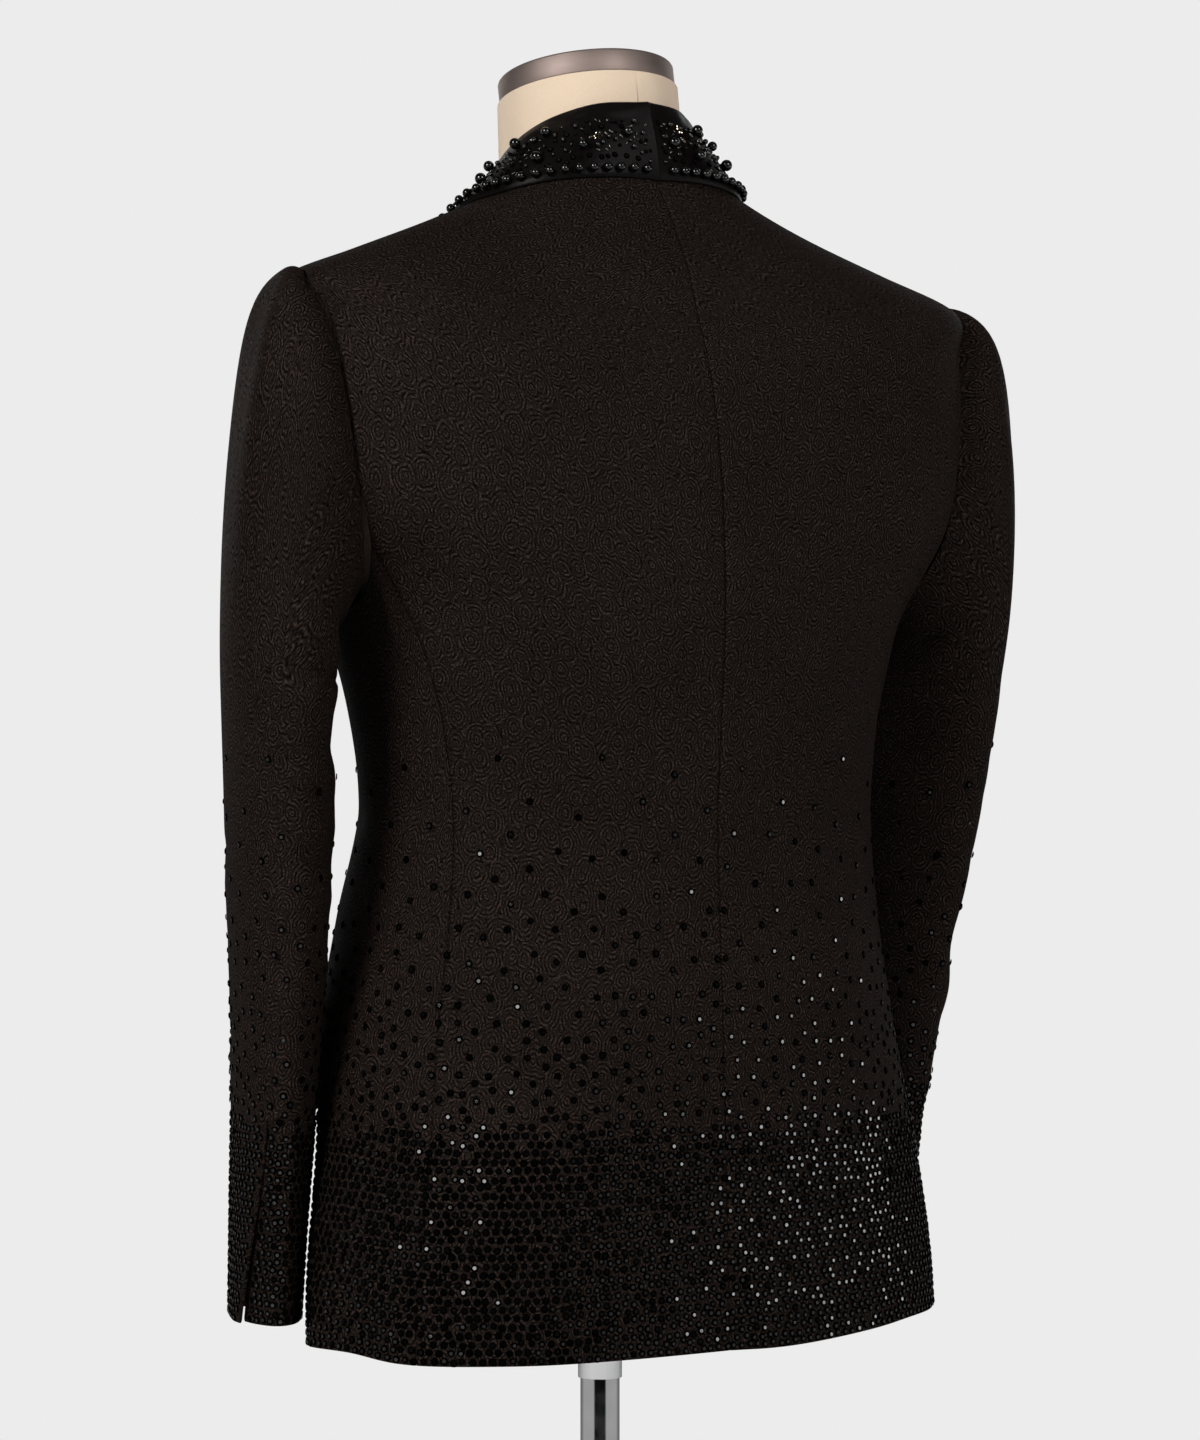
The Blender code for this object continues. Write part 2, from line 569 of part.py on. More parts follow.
def sleeve_point(turn, down, out=0.0):
    turn, down = np.broadcast_arrays(np.asarray(turn, float), np.asarray(down, float))
    lift = fold_height(SLEEVE_FOLDS, turn, down) * soft_step(down, 0.0, 0.15) + out
    return sleeve_plain(turn, down) + sleeve_normal(turn, down) * lift[..., None]


VENT_START = CAP_SHARE + (1 - CAP_SHARE) * (CAP_LOWEST - VENT_HEIGHT) / (CAP_LOWEST - CUFF_HEIGHT)
VENT_FLARE = 0.0035
VENT_LAP = 9.0  # degrees of the under sleeve that lie under the top sleeve in the vent


def sleeve_rows():
    cap = CAP_SHARE * np.array([0.0, 0.08, 0.2, 0.36, 0.55, 0.77, 1.0])
    arm = CAP_SHARE + (VENT_START - CAP_SHARE) * np.array([0.25, 0.5, 0.75, 1.0])
    vent = VENT_START + (1 - VENT_START) * np.array([0.3, 0.65, 1.0])
    return np.concatenate([cap, arm, vent])


def sleeve_wall(name, side, turns, downs, out, edges, material):
    outer, inner = sleeve_point(turns, downs, out), sleeve_point(turns, downs, out - WALL)
    for edge in edges:
        outer, inner = pull_back(outer, edge, SEAM_GAP / 2), pull_back(inner, edge, SEAM_GAP / 2)
    return make_wall(name, mirrored(outer, side), mirrored(inner, side), material)


def make_top_sleeve(side, name, material):
    rows = sleeve_rows()
    hind = smooth_value(HIND_SEAM, rows)
    fore = smooth_value(FORE_SEAM, rows) - 360.0
    across = np.linspace(0.0, 1.0, 10)
    turns = fore[:, None] + (hind - fore)[:, None] * across[None, :]
    downs = np.repeat(rows[:, None], len(across), axis=1)
    in_vent = soft_step(rows, VENT_START, 1.0)[:, None]
    flare = VENT_FLARE * in_vent * soft_step(across, 0.7, 1.0)[None, :]
    return sleeve_wall(name, side, turns, downs, flare, ("first_column", "last_column"), material)


def make_under_sleeve(side, name, material):
    rows = sleeve_rows()
    in_vent = (rows > VENT_START + 0.001) * 1.0
    tucked = (rows > VENT_START - 0.001) * 1.0
    hind = smooth_value(HIND_SEAM, rows) - VENT_LAP * in_vent
    fore = smooth_value(FORE_SEAM, rows)
    across = np.linspace(0.0, 1.0, 8)
    turns = hind[:, None] + (fore - hind)[:, None] * across[None, :]
    downs = np.repeat(rows[:, None], len(across), axis=1)
    tuck = -(WALL + LAP_GAP) * tucked[:, None] * (1 - soft_step(across, 0.1, 0.35))[None, :]
    return sleeve_wall(name, side, turns, downs, tuck, ("first_column", "last_column"), material)


# ---- shawl collar -----------------------------------------------------------------------------------------

SHAWL_LIFT = 0.0030  # of the satin's outer side above the coat cloth
COLLAR_BULGE = 0.0015
LAPEL_BELLY = 0.0018
BEAD_PITCH = 0.0089
BEAD_GAP_AT_SEAM = 0.0070
EDGE_BEAD = 0.0060
LARGE_BEAD = 0.0070
FOLD_RADIUS_COLLAR = 0.0026
FOLD_RADIUS_LAPEL = 0.0024
# Lines along the shawl, by distance from its outer edge and by the largest share of its width.
SHAWL_LINES = (  # distance, largest_share
    (0.0, 0.0), (0.0040, 0.10), (0.0115, 0.30), (0.0195, 0.46), (0.0275, 0.60), (0.0370, 0.78),
)


def shawl_stations():
    """Rows of the shawl's table at even steps of one bead along its outer edge."""
    rows = np.array([(place,) + row for place, row in enumerate(SHAWL_ROWS)])
    fine = np.linspace(0, len(SHAWL_ROWS) - 1, 800)
    edge = body_plain(*np.moveaxis(smooth_rows(rows, fine)[..., :2], -1, 0))
    run = np.concatenate([[0.0], np.cumsum(np.linalg.norm(np.diff(edge, axis=0), axis=1))])
    count = int(round((run[-1] - BEAD_GAP_AT_SEAM) / BEAD_PITCH))
    wanted = np.concatenate([[0.0], np.linspace(BEAD_GAP_AT_SEAM, run[-1], count + 1)])
    return smooth_rows(rows, np.interp(wanted, run, fine))


def shawl_surface(stations, share, side, out=0.0):
    """Point of the fall or lapel at a share of its width from the outer edge to the roll."""
    edge_angle, edge_level, roll_angle, roll_level = np.moveaxis(stations[..., :4], -1, 0)
    crest, free = stations[..., 4:7], stations[..., 7:8]
    angle = edge_angle + (roll_angle - edge_angle) * share
    level = edge_level + (roll_level - edge_level) * share
    lift = SHAWL_LIFT + out + closing_lift(angle, level, side) + LAPEL_BELLY * 4 * share * (1 - share)
    lying = body_point(angle, level, lift)
    lift_at_edge = SHAWL_LIFT + out + closing_lift(edge_angle, edge_level, side)
    edge = body_point(edge_angle, edge_level, lift_at_edge)
    outward = unit(crest * np.array([1.0, 1.0, 0.0]) - np.array([0.0, NECK_CENTRE_Y, 0.0]) + 1e-9)
    top = crest + outward * out
    share = np.asarray(share)[..., None]
    standing = edge + (top - edge) * share + outward * COLLAR_BULGE * 4 * share * (1 - share)
    return lying + (standing - lying) * free * soft_step(share, 0.0, 0.35)


def shawl_section(stations, side, inner):
    """Lines along the shawl, in order: the fall, the fold over the crest, and the stand or the turned-in edge."""
    depth = -SATIN_WALL if inner else 0.0
    width = np.linalg.norm(
        shawl_surface(stations, np.ones(len(stations)), side) - shawl_surface(stations, np.zeros(len(stations)), side),
        axis=-1)
    lines = []
    for distance, largest in (SHAWL_LINES[::2] + SHAWL_LINES[5:] if inner else SHAWL_LINES):
        share = np.minimum(distance / width, largest)
        lines.append(shawl_surface(stations, share, side, depth))
    crest = shawl_surface(stations, np.ones(len(stations)), side)
    before = shawl_surface(stations, np.full(len(stations), 0.93), side)
    along = np.gradient(crest, axis=0)
    over = unit(crest - before)
    outward = unit(np.cross(along, over))
    outward *= np.sign(np.sum(outward * (crest - np.array([0.0, 0.02, 1.3])) * [1, 1, 0.2], axis=-1))[:, None]
    free = stations[..., 7:8]
    radius = FOLD_RADIUS_LAPEL + (FOLD_RADIUS_COLLAR - FOLD_RADIUS_LAPEL) * free
    middle = crest - outward * radius
    for turn in np.radians((0.0, 90.0, 180.0)):
        lines.append(middle + (outward * math.cos(turn) + over * math.sin(turn)) * (radius + depth))
    lines.append(middle - outward * (radius + depth) - over * stations[..., 8:9])
    return np.stack(lines, axis=1)


def raise_bead(shell, face, size):
    """Raises one bead in a cell of the wall's outer points."""
    small = min(edge.calc_length() for edge in face.edges)
    if small < size * 0.8:
        return
    bmesh.ops.inset_individual(shell, faces=[face], thickness=small / 2 - size * 0.30, depth=size * 0.62)


def make_shawl(side, name, material):
    stations = shawl_stations()
    outer = shawl_section(stations, side, False)
    inner = shawl_section(stations, side, True)
    outer[0, :, 0], inner[0, :, 0] = SEAM_GAP / 2, SEAM_GAP / 2
    rows, outer_lines, _ = outer.shape
    inner_lines = inner.shape[1]
    count = rows * outer_lines
    points = np.concatenate([outer.reshape(-1, 3), inner.reshape(-1, 3)])
    faces = grid_faces(rows, outer_lines)
    faces += [face[::-1] for face in grid_faces(rows, inner_lines, count)]
    for row in range(rows - 1):
        for outer_line, inner_line, turn in ((0, 0, 1), (outer_lines - 1, inner_lines - 1, -1)):
            face = (row * outer_lines + outer_line, (row + 1) * outer_lines + outer_line,
                    count + (row + 1) * inner_lines + inner_line, count + row * inner_lines + inner_line)
            faces.append(face[::turn])
    for row, turn in ((0, -1), (rows - 1, 1)):
        end = [row * outer_lines + line for line in range(outer_lines)]
        end += [count + row * inner_lines + line for line in range(inner_lines - 1, -1, -1)]
        faces.append(tuple(end[::turn]))
    points = mirrored(points, side)
    piece = make_object(name, points, faces, material)
    shell = bmesh.new()
    shell.from_mesh(piece.data)
    shell.faces.ensure_lookup_table()
    columns = outer_lines - 1
    cells = {}
    for row in range(rows - 1):
        for line in range(columns):
            cells[row, line] = shell.faces[row * columns + line]
    for row in range(1, rows - 2):
        raise_bead(shell, cells[row, 1], EDGE_BEAD)
        if row % 2 == 0:
            raise_bead(shell, cells[row, 2], LARGE_BEAD * 0.9)
        if row % 4 == 1:
            raise_bead(shell, cells[row, 3], LARGE_BEAD)
        if row % 4 == 3:
            raise_bead(shell, cells[row, 4], LARGE_BEAD)
    shell.to_mesh(piece.data)
    shell.free()
    return piece


# ---- button, form and stand -------------------------------------------------------------------------------


def round_ring(radius, centre, tilt=0.0, sides=ROUND_SIDES):
    turns = np.linspace(0.0, 2 * math.pi, sides, endpoint=False)
    flat = np.stack([radius * np.sin(turns), radius * np.cos(turns), np.zeros(sides)], axis=-1)
    tilted = np.stack([
        flat[:, 0], flat[:, 1] * math.cos(tilt) - flat[:, 2] * math.sin(tilt),
        flat[:, 1] * math.sin(tilt) + flat[:, 2] * math.cos(tilt)], axis=-1)
    return tilted + np.array(centre)


def turned(name, profile, material, centre=(0.0, 0.0, 0.0), tilt=0.0, sides=ROUND_SIDES):
    """A turned piece through (radius, height) pairs, from the bottom up."""
    rings = []
    for radius, height in profile:
        lift = np.array([0.0, -math.sin(tilt), math.cos(tilt)]) * height
        rings.append(round_ring(radius, np.array(centre) + lift, tilt, sides))
    return make_lathe_stack(name, rings, material)


def make_tube(name, outer_radius, inner_radius, bottom, top, material):
    rings = [round_ring(outer_radius, (0, 0, bottom)), round_ring(outer_radius, (0, 0, top)),
             round_ring(inner_radius, (0, 0, top)), round_ring(inner_radius, (0, 0, bottom))]
    sides = ROUND_SIDES
    faces = []
    for ring in range(4):
        after_ring = (ring + 1) % 4
        for side in range(sides):
            after = (side + 1) % sides
            faces.append((ring * sides + side, ring * sides + after, after_ring * sides + after,
                          after_ring * sides + side))
    return make_object(name, np.concatenate(rings), faces, material)


def make_button(material):
    """The covered button on the left front, on its shank."""
    seat = body_point(np.array(180.0), np.array(BUTTON_LEVEL), CLOSING_LIFT + SEAM_GAP - BUTTON_SETTLE)
    facing = body_normal(np.array(180.0), np.array(BUTTON_LEVEL))
    sideways = unit(np.cross(facing, np.array([0.0, 0.0, 1.0])))
    upward = np.cross(sideways, facing)
    turns = np.linspace(0.0, 2 * math.pi, BUTTON_SIDES, endpoint=False)
    rings = []
    for share, height in BUTTON_PROFILE:
        ring = [seat + facing * height + BUTTON_RADIUS * share * (sideways * math.cos(t) + upward * math.sin(t))
                for t in turns]
        rings.append(ring)
    return make_lathe_stack("front_button", rings, material)


def neck_ring(radius, height, tilt):
    """Ring of the neck, which leans a little forward."""
    return round_ring(radius, (0.0, NECK_CENTRE_Y - (height - NECK_TOP) * 0.10, height), tilt, NECK_SIDES)


def make_form(material):
    """The limbless form: hip to shoulders, then the neck. The coat rests on it along the shoulder seams."""
    turns = np.linspace(0.0, 360.0, NECK_SIDES, endpoint=False)
    angles = np.where(turns > 180.0, 360.0 - turns, turns)
    signs = np.where(turns > 180.0, -1.0, 1.0)[:, None] * np.array([1.0, 0, 0]) + np.array([0.0, 1.0, 1.0])
    sideways = np.sin(np.radians(angles)) ** 4
    rings = []
    for level, side_ease, centre_ease in FORM_ROWS:
        ease = centre_ease + (side_ease - centre_ease) * sideways
        rings.append(body_point(angles, np.full(NECK_SIDES, level), -(WALL + ease)) * signs)
    bottom = rings[0].copy()
    bottom[:, :2] = bottom[:, :2] * 0.94 + np.array([0.0, 0.0015])
    rings[0][:, 2], bottom[:, 2] = FORM_BOTTOM + 0.006, FORM_BOTTOM
    rings.insert(0, bottom)
    for height, radius, tilt in NECK_ROWS_OF_FORM:
        rings.append(neck_ring(radius, height, math.radians(tilt)))
    return make_lathe_stack("form_torso", rings, material)


def main():
    for old in list(bpy.data.objects):
        bpy.data.objects.remove(old, do_unlink=True)

    cloth = make_material("jacquard cloth", (0.012, 0.010, 0.009), 0.75)
    satin = make_material("black satin", (0.008, 0.008, 0.009), 0.32)
    linen = make_material("cream linen", (0.79, 0.67, 0.51), 0.85)
    brushed = make_material("brushed dark steel", (0.16, 0.13, 0.12), 0.35, 1.0)
    chrome = make_material("chrome", (0.62, 0.62, 0.63), 0.12, 1.0)

    for side, word in ((1, "left"), (-1, "right")):
        make_back(side, "back_" + word, cloth)
        make_side(side, "side_" + word, cloth)
        make_front(side, "front_" + word, cloth)
        make_top_sleeve(side, "top_sleeve_" + word, cloth)
        make_under_sleeve(side, "under_sleeve_" + word, cloth)
        make_shawl(side, "shawl_" + word, satin)
    make_button(satin)
    make_form(linen)

    cap_centre = (0.0, NECK_CENTRE_Y, NECK_TOP + SEAM_GAP / math.cos(NECK_TILT))
    cap_profile = ((CAP_RADIUS - CAP_EDGE / 2, 0.0), (CAP_RADIUS, CAP_EDGE), (CAP_RADIUS, CAP_HEIGHT - CAP_EDGE),
                   (CAP_RADIUS - CAP_EDGE, CAP_HEIGHT))
    turned("neck_cap", cap_profile, brushed, cap_centre, NECK_TILT)
    ferrule_top = FORM_BOTTOM - SEAM_GAP
    make_tube("pole_ferrule", FERRULE_RADIUS, FERRULE_BORE, FERRULE_BOTTOM, ferrule_top, chrome)
    turned("pole", ((POLE_RADIUS, BOSS_TOP + SEAM_GAP), (POLE_RADIUS, ferrule_top)), chrome)
    turned("base", BASE_PROFILE, chrome, sides=BASE_SIDES)


main()
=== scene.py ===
"""Black jacquard tuxedo jacket with a beaded satin shawl collar, on a limbless dress form with a chrome pole.

In metres, +Z up. The front of the jacket faces -Y and the wearer's left is +X. Each panel of cloth is made again
from the body or the sleeve surface that its solid lies on, on a finer grid and with its creases. Stones, pearls and
beads are set on those surfaces one by one.
"""

import math

import bmesh
import bpy
import numpy as np
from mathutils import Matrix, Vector, kdtree


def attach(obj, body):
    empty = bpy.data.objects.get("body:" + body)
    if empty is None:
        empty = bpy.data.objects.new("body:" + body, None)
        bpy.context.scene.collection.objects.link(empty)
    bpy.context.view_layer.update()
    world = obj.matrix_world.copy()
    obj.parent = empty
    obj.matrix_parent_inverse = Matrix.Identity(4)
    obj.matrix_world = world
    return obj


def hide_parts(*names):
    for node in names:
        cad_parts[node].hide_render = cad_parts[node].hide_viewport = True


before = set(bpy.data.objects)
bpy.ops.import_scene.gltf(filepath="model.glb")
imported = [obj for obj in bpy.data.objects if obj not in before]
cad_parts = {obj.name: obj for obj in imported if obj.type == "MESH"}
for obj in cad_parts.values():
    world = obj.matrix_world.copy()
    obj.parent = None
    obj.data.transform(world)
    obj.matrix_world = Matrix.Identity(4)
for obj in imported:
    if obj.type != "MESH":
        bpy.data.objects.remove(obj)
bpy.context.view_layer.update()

# ---- the cut ----------------------------------------------------------------------------------------------

WALL = 0.0018
SATIN_WALL = 0.0016
SEAM_GAP = 0.0003
LAP_GAP = 0.0005

HEM_LEVEL = 0.786
UNDERARM_LEVEL = 1.236
TIP_LEVEL = 1.446
NECK_LEVEL = 1.530
WAIST_LEVEL = 1.12

# Sections of the body. "side" is a section's point at the wearer's side, "back" and "front" lie on the centre lines.
BODY_ROWS = (  # level, side_x, side_y, side_z, back_y, back_z, front_y, front_z, back_square, front_square
    (0.770, 0.2195, 0.036, 0.770, 0.1510, 0.770, -0.078, 0.770, 2.12, 2.20),
    (0.815, 0.2172, 0.035, 0.815, 0.1490, 0.815, -0.086, 0.815, 2.14, 2.25),
    (0.914, 0.2025, 0.032, 0.914, 0.1455, 0.914, -0.101, 0.914, 2.14, 2.42),
    (0.984, 0.1922, 0.022, 0.984, 0.1430, 0.984, -0.105, 0.984, 2.10, 2.70),
    (1.047, 0.1815, 0.020, 1.047, 0.1395, 1.047, -0.101, 1.047, 2.10, 2.60),
    (1.120, 0.1757, 0.021, 1.120, 0.1375, 1.120, -0.089, 1.120, 2.10, 2.10),
    (1.170, 0.1800, 0.018, 1.170, 0.1410, 1.170, -0.094, 1.170, 2.15, 2.10),
    (1.236, 0.1960, 0.016, 1.236, 0.1450, 1.236, -0.106, 1.236, 2.30, 2.30),
    (1.300, 0.2290, 0.018, 1.300, 0.1430, 1.300, -0.115, 1.290, 2.70, 2.60),
    (1.350, 0.2370, 0.024, 1.356, 0.1380, 1.345, -0.114, 1.335, 2.80, 2.60),
    (1.400, 0.2385, 0.031, 1.408, 0.1280, 1.388, -0.105, 1.376, 2.70, 2.50),
    (1.446, 0.2345, 0.036, 1.4425, 0.1155, 1.420, -0.094, 1.406, 2.50, 2.40),
    (1.472, 0.1890, 0.028, 1.4600, 0.1030, 1.452, -0.082, 1.430, 2.35, 2.30),
    (1.502, 0.1370, 0.018, 1.4794, 0.0830, 1.486, -0.067, 1.453, 2.25, 2.20),
    (1.530, 0.0880, 0.008, 1.4990, 0.0590, 1.522, -0.050, 1.474, 2.15, 2.15),
)
HEM_DROPS = ((0, 0.000), (40, 0.003), (62, 0.002), (80, -0.003), (95, -0.003), (140, 0.006), (190, 0.018))
RIGHT_HEM_RISE = 0.0115
RISE_TOP = 0.95

SIDE_BACK_SEAM = ((0.770, 58.5), (0.950, 59.5), (1.120, 60.5), (1.190, 62.5), (1.250, 66.0))
SIDE_FRONT_SEAM = ((0.770, 118.0), (1.120, 114.0), (1.250, 109.0))

ARMHOLE_ANGLE = 92.5
ARMHOLE_BACK_REACH = 30.0
ARMHOLE_FRONT_REACH = 22.0
ARMHOLE_MIDDLE_LEVEL = 1.312

LOWER_SHARES = (0.0, 0.012, 0.05, 0.12, 0.22, 0.34, 0.46, 0.58, 0.70, 0.80, 0.90, 1.0)
UPPER_SHARES = (0.13, 0.27, 0.42, 0.57, 0.71, 0.83, 0.92, 0.975, 1.0)
NECK_ROWS = 5

FRONT_OVERLAP = 6.0
CLOSING_LEVEL = 1.042
CUTAWAY_START = 0.960
CUTAWAY_ANGLE = 149.0
ROLL_SETBACK = 5.5
CLOSING_LIFT = 0.0027

SLEEVE_ROWS = (  # height, x, y, half_width, half_depth
    (1.190, 0.2345, 0.0055, 0.0345, 0.0722),
    (1.120, 0.2295, -0.0030, 0.0330, 0.0695),
    (1.060, 0.2252, -0.0130, 0.0308, 0.0668),
    (1.000, 0.2208, -0.0225, 0.0282, 0.0634),
    (0.927, 0.2178, -0.0335, 0.0252, 0.0606),
    (0.860, 0.2165, -0.0420, 0.0228, 0.0590),
    (0.790, 0.2160, -0.0485, 0.0210, 0.0582),
)
SLEEVE_TURN = math.radians(20.0)
CAP_LOWEST = SLEEVE_ROWS[0][0]
CUFF_HEIGHT = 0.801
VENT_HEIGHT = 0.918
CAP_SHARE = 0.36
HIND_SEAM = ((0.0, 84.0), (0.36, 76.0), (0.60, 68.0), (0.82, 61.0), (1.0, 36.0))
FORE_SEAM = ((0.0, 246.0), (0.36, 236.0), (1.0, 232.0))
VENT_START = CAP_SHARE + (1 - CAP_SHARE) * (CAP_LOWEST - VENT_HEIGHT) / (CAP_LOWEST - CUFF_HEIGHT)
VENT_FLARE = 0.0035
VENT_LAP = 9.0

SLEEVE_INSET = 0.0011
CAP_SWING = 0.0075
LEAVING_EVERYWHERE = (1.0, 0.20, 0.0)  # the way in which the sleeve leaves the armhole
LEAVING_BY_PLACE = (
    (0.0, 0.00, 0.42),  # at the top
    (0.0, 0.00, -0.60),  # away from the top
    (0.0, 0.00, -0.55),  # at the underarm
    (0.0, 0.40, 0.00),  # at the back
    (0.0, -0.10, -0.35),  # at the front
)
HEAD_FULLNESS = 0.044
HEAD_REACH = 0.45
HEAD_REACH_LOST_AHEAD = 0.26
HEAD_ARRIVAL = 1.15

SHAWL_ROWS = (  # edge_angle, edge_level, roll_angle, roll_level, crest_x, crest_y, crest_z, free, stand
    (0.0, 1.5190, 0.0, 1.530, 0.0000, 0.0580, 1.5575, 1.0, 0.0320),
    (30.0, 1.5220, 30.0, 1.530, 0.0335, 0.0445, 1.5555, 1.0, 0.0300),
    (62.0, 1.5265, 60.0, 1.530, 0.0565, 0.0165, 1.5450, 1.0, 0.0240),
    (90.0, 1.5275, 88.0, 1.530, 0.0650, -0.0145, 1.5270, 1.0, 0.0140),
    (116.0, 1.518, 115.0, 1.530, 0.0645, -0.0360, 1.5020, 0.9, 0.0070),
    (136.0, 1.492, 140.0, 1.512, 0.0645, -0.0530, 1.4760, 0.5, 0.0040),
    (146.0, 1.456, 160.0, 1.470, 0.0640, -0.0650, 1.4400, 0.0, 0.0035),
    (149.0, 1.410, 166.5, 1.410, 0.0580, -0.0900, 1.3900, 0.0, 0.0035),
    (147.0, 1.350, 168.5, 1.350, 0.0500, -0.1000, 1.3400, 0.0, 0.0035),
    (144.0, 1.290, 170.0, 1.290, 0.0500, -0.1000, 1.3000, 0.0, 0.0035),
    (143.0, 1.230, 171.5, 1.230, 0.0500, -0.1000, 1.2000, 0.0, 0.0035),
    (148.0, 1.170, 174.0, 1.165, 0.0500, -0.1000, 1.1000, 0.0, 0.0035),
    (158.5, 1.115, 175.8, 1.110, 0.0500, -0.1000, 1.1000, 0.0, 0.0035),
    (171.0, 1.072, 177.6, 1.070, 0.0500, -0.1000, 1.0000, 0.0, 0.0035),
)
SHAWL_LIFT = 0.0030
COLLAR_BULGE = 0.0015
LAPEL_BELLY = 0.0018
FOLD_RADIUS_COLLAR = 0.0026
FOLD_RADIUS_LAPEL = 0.0024

NECK_CENTRE_Y = -0.0150
NECK_RADIUS = 0.0580
NECK_TOP = 1.5692
NECK_TILT = math.radians(11.0)
NECK_LEAN = 0.10
FORM_BOTTOM = 0.836
FORM_ROWS = (  # level, side_ease, centre_ease
    (0.842, 0.0300, 0.0200),
    (0.914, 0.0200, 0.0160),
    (0.984, 0.0160, 0.0150),
    (1.047, 0.0150, 0.0140),
    (1.120, 0.0150, 0.0130),
    (1.170, 0.0150, 0.0120),
    (1.236, 0.0190, 0.0110),
    (1.300, 0.0380, 0.0100),
    (1.350, 0.0400, 0.0090),
    (1.400, 0.0340, 0.0080),
    (1.434, 0.0160, 0.0070),
    (1.450, 0.0030, 0.0060),
    (1.462, 0.0004, 0.0060),
    (1.478, 0.0004, 0.0060),
    (1.494, 0.0004, 0.0060),
    (1.512, 0.0004, 0.0060),
    (1.529, 0.0012, 0.0070),
)
NECK_ROWS_OF_FORM = ((1.5085, 0.0610, 20.0), (1.5300, 0.0592, 16.0), (NECK_TOP, NECK_RADIUS, 11.0))

# ---- creases ----------------------------------------------------------------------------------------------

BODY_FOLDS = (  # angle, level, angle_reach, level_reach, lean_degrees_per_metre, out
    (52.0, 1.262, 5.0, 0.045, -160.0, -0.0035),
    (44.0, 1.275, 5.0, 0.050, -150.0, 0.0030),
    (14.0, 1.130, 8.0, 0.060, 20.0, -0.0030),
    (33.0, 0.850, 9.0, 0.120, 0.0, 0.0030),
    (74.0, 0.860, 8.0, 0.110, 0.0, -0.0035),
    (96.0, 0.850, 9.0, 0.120, 10.0, 0.0035),
    (128.0, 0.860, 10.0, 0.120, 20.0, -0.0030),
    (150.0, 1.060, 9.0, 0.040, -90.0, -0.0030),
    (124.0, 1.270, 5.0, 0.045, 160.0, -0.0030),
)
FINE_BODY_FOLDS = (  # the same columns
    (3.4, 1.265, 2.6, 0.060, 12.0, 0.0011),
    (5.8, 1.180, 3.0, 0.050, -20.0, -0.0008),
    (24.0, 1.105, 9.0, 0.009, 60.0, -0.0011),
    (30.0, 1.128, 10.0, 0.008, 40.0, 0.0009),
    (40.0, 1.090, 8.0, 0.010, -70.0, -0.0010),
    (57.0, 1.215, 3.0, 0.030, -200.0, 0.0014),
    (60.0, 1.185, 3.5, 0.028, -180.0, -0.0013),
    (20.0, 1.395, 10.0, 0.012, 60.0, 0.0008),
    (72.0, 1.120, 7.0, 0.010, -90.0, -0.0014),
    (78.0, 1.098, 8.0, 0.009, -70.0, 0.0011),
    (104.0, 1.110, 8.0, 0.010, 80.0, -0.0012),
    (140.0, 1.085, 12.0, 0.009, -60.0, -0.0013),
    (152.0, 1.100, 10.0, 0.009, -70.0, 0.0012),
    (146.0, 1.040, 14.0, 0.010, 50.0, 0.0010),
    (118.0, 1.245, 4.0, 0.034, 150.0, 0.0012),
    (66.0, 1.262, 2.2, 0.030, -60.0, -0.0020),
    (69.5, 1.246, 1.8, 0.030, -80.0, 0.0015),
    (113.0, 1.262, 2.2, 0.028, 70.0, -0.0016),
)
SLEEVE_FOLDS = (  # degrees round, way down, degrees of reach, reach down, lean, out
    (95.0, 0.33, 22.0, 0.040, 0.0, -0.0030),
    (60.0, 0.62, 25.0, 0.030, 150.0, -0.0030),
    (75.0, 0.68, 25.0, 0.030, 150.0, 0.0025),
    (20.0, 0.80, 30.0, 0.040, -100.0, -0.0020),
)
FINE_SLEEVE_FOLDS = (  # the same columns
    (120.0, 0.470, 34.0, 0.010, 300.0, -0.0022),
    (128.0, 0.500, 30.0, 0.011, 250.0, 0.0018),
    (118.0, 0.535, 38.0, 0.010, -260.0, -0.0021),
    (140.0, 0.570, 30.0, 0.012, 200.0, 0.0015),
    (-40.0, 0.520, 34.0, 0.010, -260.0, -0.0016),
    (-52.0, 0.560, 32.0, 0.011, -220.0, 0.0014),
    (-60.0, 0.610, 36.0, 0.010, 240.0, -0.0016),
    (10.0, 0.710, 60.0, 0.008, 60.0, -0.0009),
    (30.0, 0.735, 50.0, 0.009, -90.0, 0.0008),
    (30.0, 0.130, 9.0, 0.070, 60.0, -0.0008),
    (-24.0, 0.150, 10.0, 0.080, -60.0, -0.0009),
    (200.0, 0.420, 50.0, 0.012, 200.0, -0.0018),
    (190.0, 0.640, 40.0, 0.012, -160.0, 0.0014),
    (150.0, 0.160, 15.0, 0.035, 0.0, -0.0038),
    (162.0, 0.408, 17.0, 0.028, 0.0, -0.0036),
    (126.0, 0.335, 36.0, 0.013, -700.0, -0.0026),
    (124.0, 0.368, 34.0, 0.014, -640.0, 0.0022),
    (142.0, 0.250, 18.0, 0.034, -200.0, 0.0022),
    (112.0, 0.425, 34.0, 0.012, -300.0, -0.0017),
)
